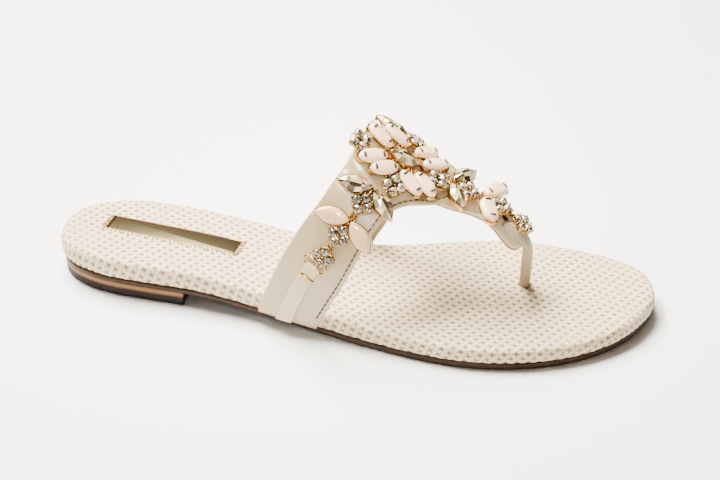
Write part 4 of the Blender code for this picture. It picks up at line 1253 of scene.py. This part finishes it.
# --- stage
WARM = (1.0, 0.94, 0.85)
FLOOR_HALF = 3.0
CAMERA = ((321.6 - MIDDLE[0]) * MM, (-893.8 - MIDDLE[1]) * MM, 610.5 * MM)
CAMERA_AIM = (0.004, 0.0, 0.028)
CAMERA_LENS = 132.0
LIGHTS = table(
    "name place aim size power colour spread",
    ("key", (-0.38, 0.36, 0.93), (0.0, 0.0, 0.02), 0.7, 84.0, (1.0, 0.94, 0.84), 180.0),
    ("accent", (-0.16, -0.02, 0.46), (-0.01, 0.0, 0.08), 0.14, 0.55, WARM, 60.0),
    ("front", (0.05, -0.34, 0.36), (0.008, -0.004, 0.07), 0.06, 0.05, WARM, 20.0),
    ("fill", (0.0, -1.15, 0.24), (0.0, 0.0, 0.02), 0.6, 2.4, (1.0, 0.93, 0.84), 180.0))


def aimed(name, data, place, aim):
    """A light or camera at a place in metres, turned to face another."""
    item = linked(name, data)
    item.location = place
    item.rotation_euler = (Vector(aim) - Vector(place)).to_track_quat("-Z", "Y").to_euler()
    return item


def studio():
    """The floor, the sky, the lights and the camera."""
    paint = Shader("floor_paint")
    paint.set(Base_Color=(0.95, 0.95, 0.95), Roughness=0.8, Metallic=0.0)
    mesh = bpy.data.meshes.new("floor")
    corners = [(sx * FLOOR_HALF, sy * FLOOR_HALF, 0) for sx, sy in CORNERS]
    mesh.from_pydata(corners, [], [(0, 1, 2, 3)])
    mesh.materials.append(paint.material)
    floor = linked("floor", mesh)

    world = bpy.data.worlds.new("studio")
    bpy.context.scene.world = world
    world.use_nodes = True
    sky = world.node_tree.nodes["Background"].inputs
    sky["Color"].default_value = (1.0, 0.95, 0.88, 1.0)
    sky["Strength"].default_value = 0.1

    for lamp in LIGHTS:
        data = bpy.data.lights.new(lamp.name, "AREA")
        data.spread = math.radians(lamp.spread)
        data.size = lamp.size
        data.energy = lamp.power
        data.color = lamp.colour
        light = aimed(lamp.name, data, lamp.place, lamp.aim)

    camera = bpy.data.cameras.new("camera")
    camera.sensor_width = 36.0
    camera.lens = CAMERA_LENS
    bpy.context.scene.camera = aimed("camera", camera, CAMERA, CAMERA_AIM)


# --- the sandal
ivory = leather("ivory_leather", (0.41, 0.307, 0.156), 0.32, 0.65)
light_ivory = leather("light_ivory_leather", (0.56, 0.43, 0.235), 0.36, 0.5)
# The toe strap's leather is a lighter copy of the ivory leather: painted light on a strap that faces up.
lit_strap_ivory = leather("lit_strap_leather", (0.68, 0.54, 0.32), 0.34, 0.8)
lining = leather("tan_lining", (0.50, 0.34, 0.19), 0.6, 0.1, grain=0.2)
raw_edge = varied("raw_edge", (0.42, 0.25, 0.11), 0.7)
post_leather = leather("post_leather", (0.38, 0.305, 0.20), 0.5, 0.2)
brown = leather("dark_leather", (0.034, 0.017, 0.009), 0.5, 0.1)
rubber = leather("heel_rubber", (0.016, 0.009, 0.006), 0.55, 0.1)
thread = varied("brown_thread", (0.055, 0.028, 0.016), 0.7, scale=1500.0)
tan_thread = varied("tan_thread", (0.40, 0.225, 0.065), 0.7, scale=900.0)
gold = varied("gold", (0.72, 0.445, 0.14), 0.2, 1.0, shade=0.36, scale=420.0)
# The label plate's large dark and light patches are painted reflections of a slightly warped plate.
plate_gold = varied("label_gold", (0.14, 0.11, 0.055), 0.3, 1.0, shade=0.45, scale=45.0)
# Near-black bars on the pink stones: painted shadows of their claws.
claw_shadow_paint = varied("claw_painted_shadow", (0.03, 0.014, 0.006), 0.5)
# The walls of the label's slot and the toe post's socket take a painted dark shade.
slot_wall_shade = varied("slot_wall_shade", (0.20, 0.10, 0.04), 0.8)
# A near-black finish for the painted shadow in the toe post's slot.
shadow = varied("slot_painted_shadow", (0.02, 0.014, 0.01), 0.9)
# The arms' pinks are a darker copy of the pale pink stone: a painted shade for the stones on the band's
# sides.
shaded_arm_pink = milky_stone("shaded_arm_pink_stone", (0.58, 0.35, 0.19), (0.70, 0.47, 0.28))

footbed(woven_wrap(), slot_wall_shade)
label(plate_gold, tan_thread)
outsole(brown)
heel(stacked_leather(), rubber)
band_layer("instep_band", BAND_LAYER, ivory, "upper")
band_layer("band_lining", LINING_LAYER, lining)
band_stitches(thread)
toe_strap_layer("toe_strap_leather", lit_strap_ivory, 0.0, 0.0, 0.75)
toe_strap_layer("toe_strap_edge", raw_edge, 0.35, 0.55, 1.15)
toe_post(post_leather)
post_slot_shadow(shadow)
overlay_straps(light_ivory)
loops(gold)
staples(gold)
ornament(gold, claw_shadow_paint, {
    "crystal": faceted("smoky_crystal", (0.022, 0.015, 0.005), (0.97, 0.78, 0.43)),
    "pink": milky_stone("pale_pink_stone", (0.88, 0.555, 0.335), (0.96, 0.69, 0.45)),
    "pink_lateral": shaded_arm_pink, "pink_medial": shaded_arm_pink,
    "cluster": faceted("rhinestone", (0.025, 0.021, 0.016), (0.84, 0.68, 0.44))})
studio()
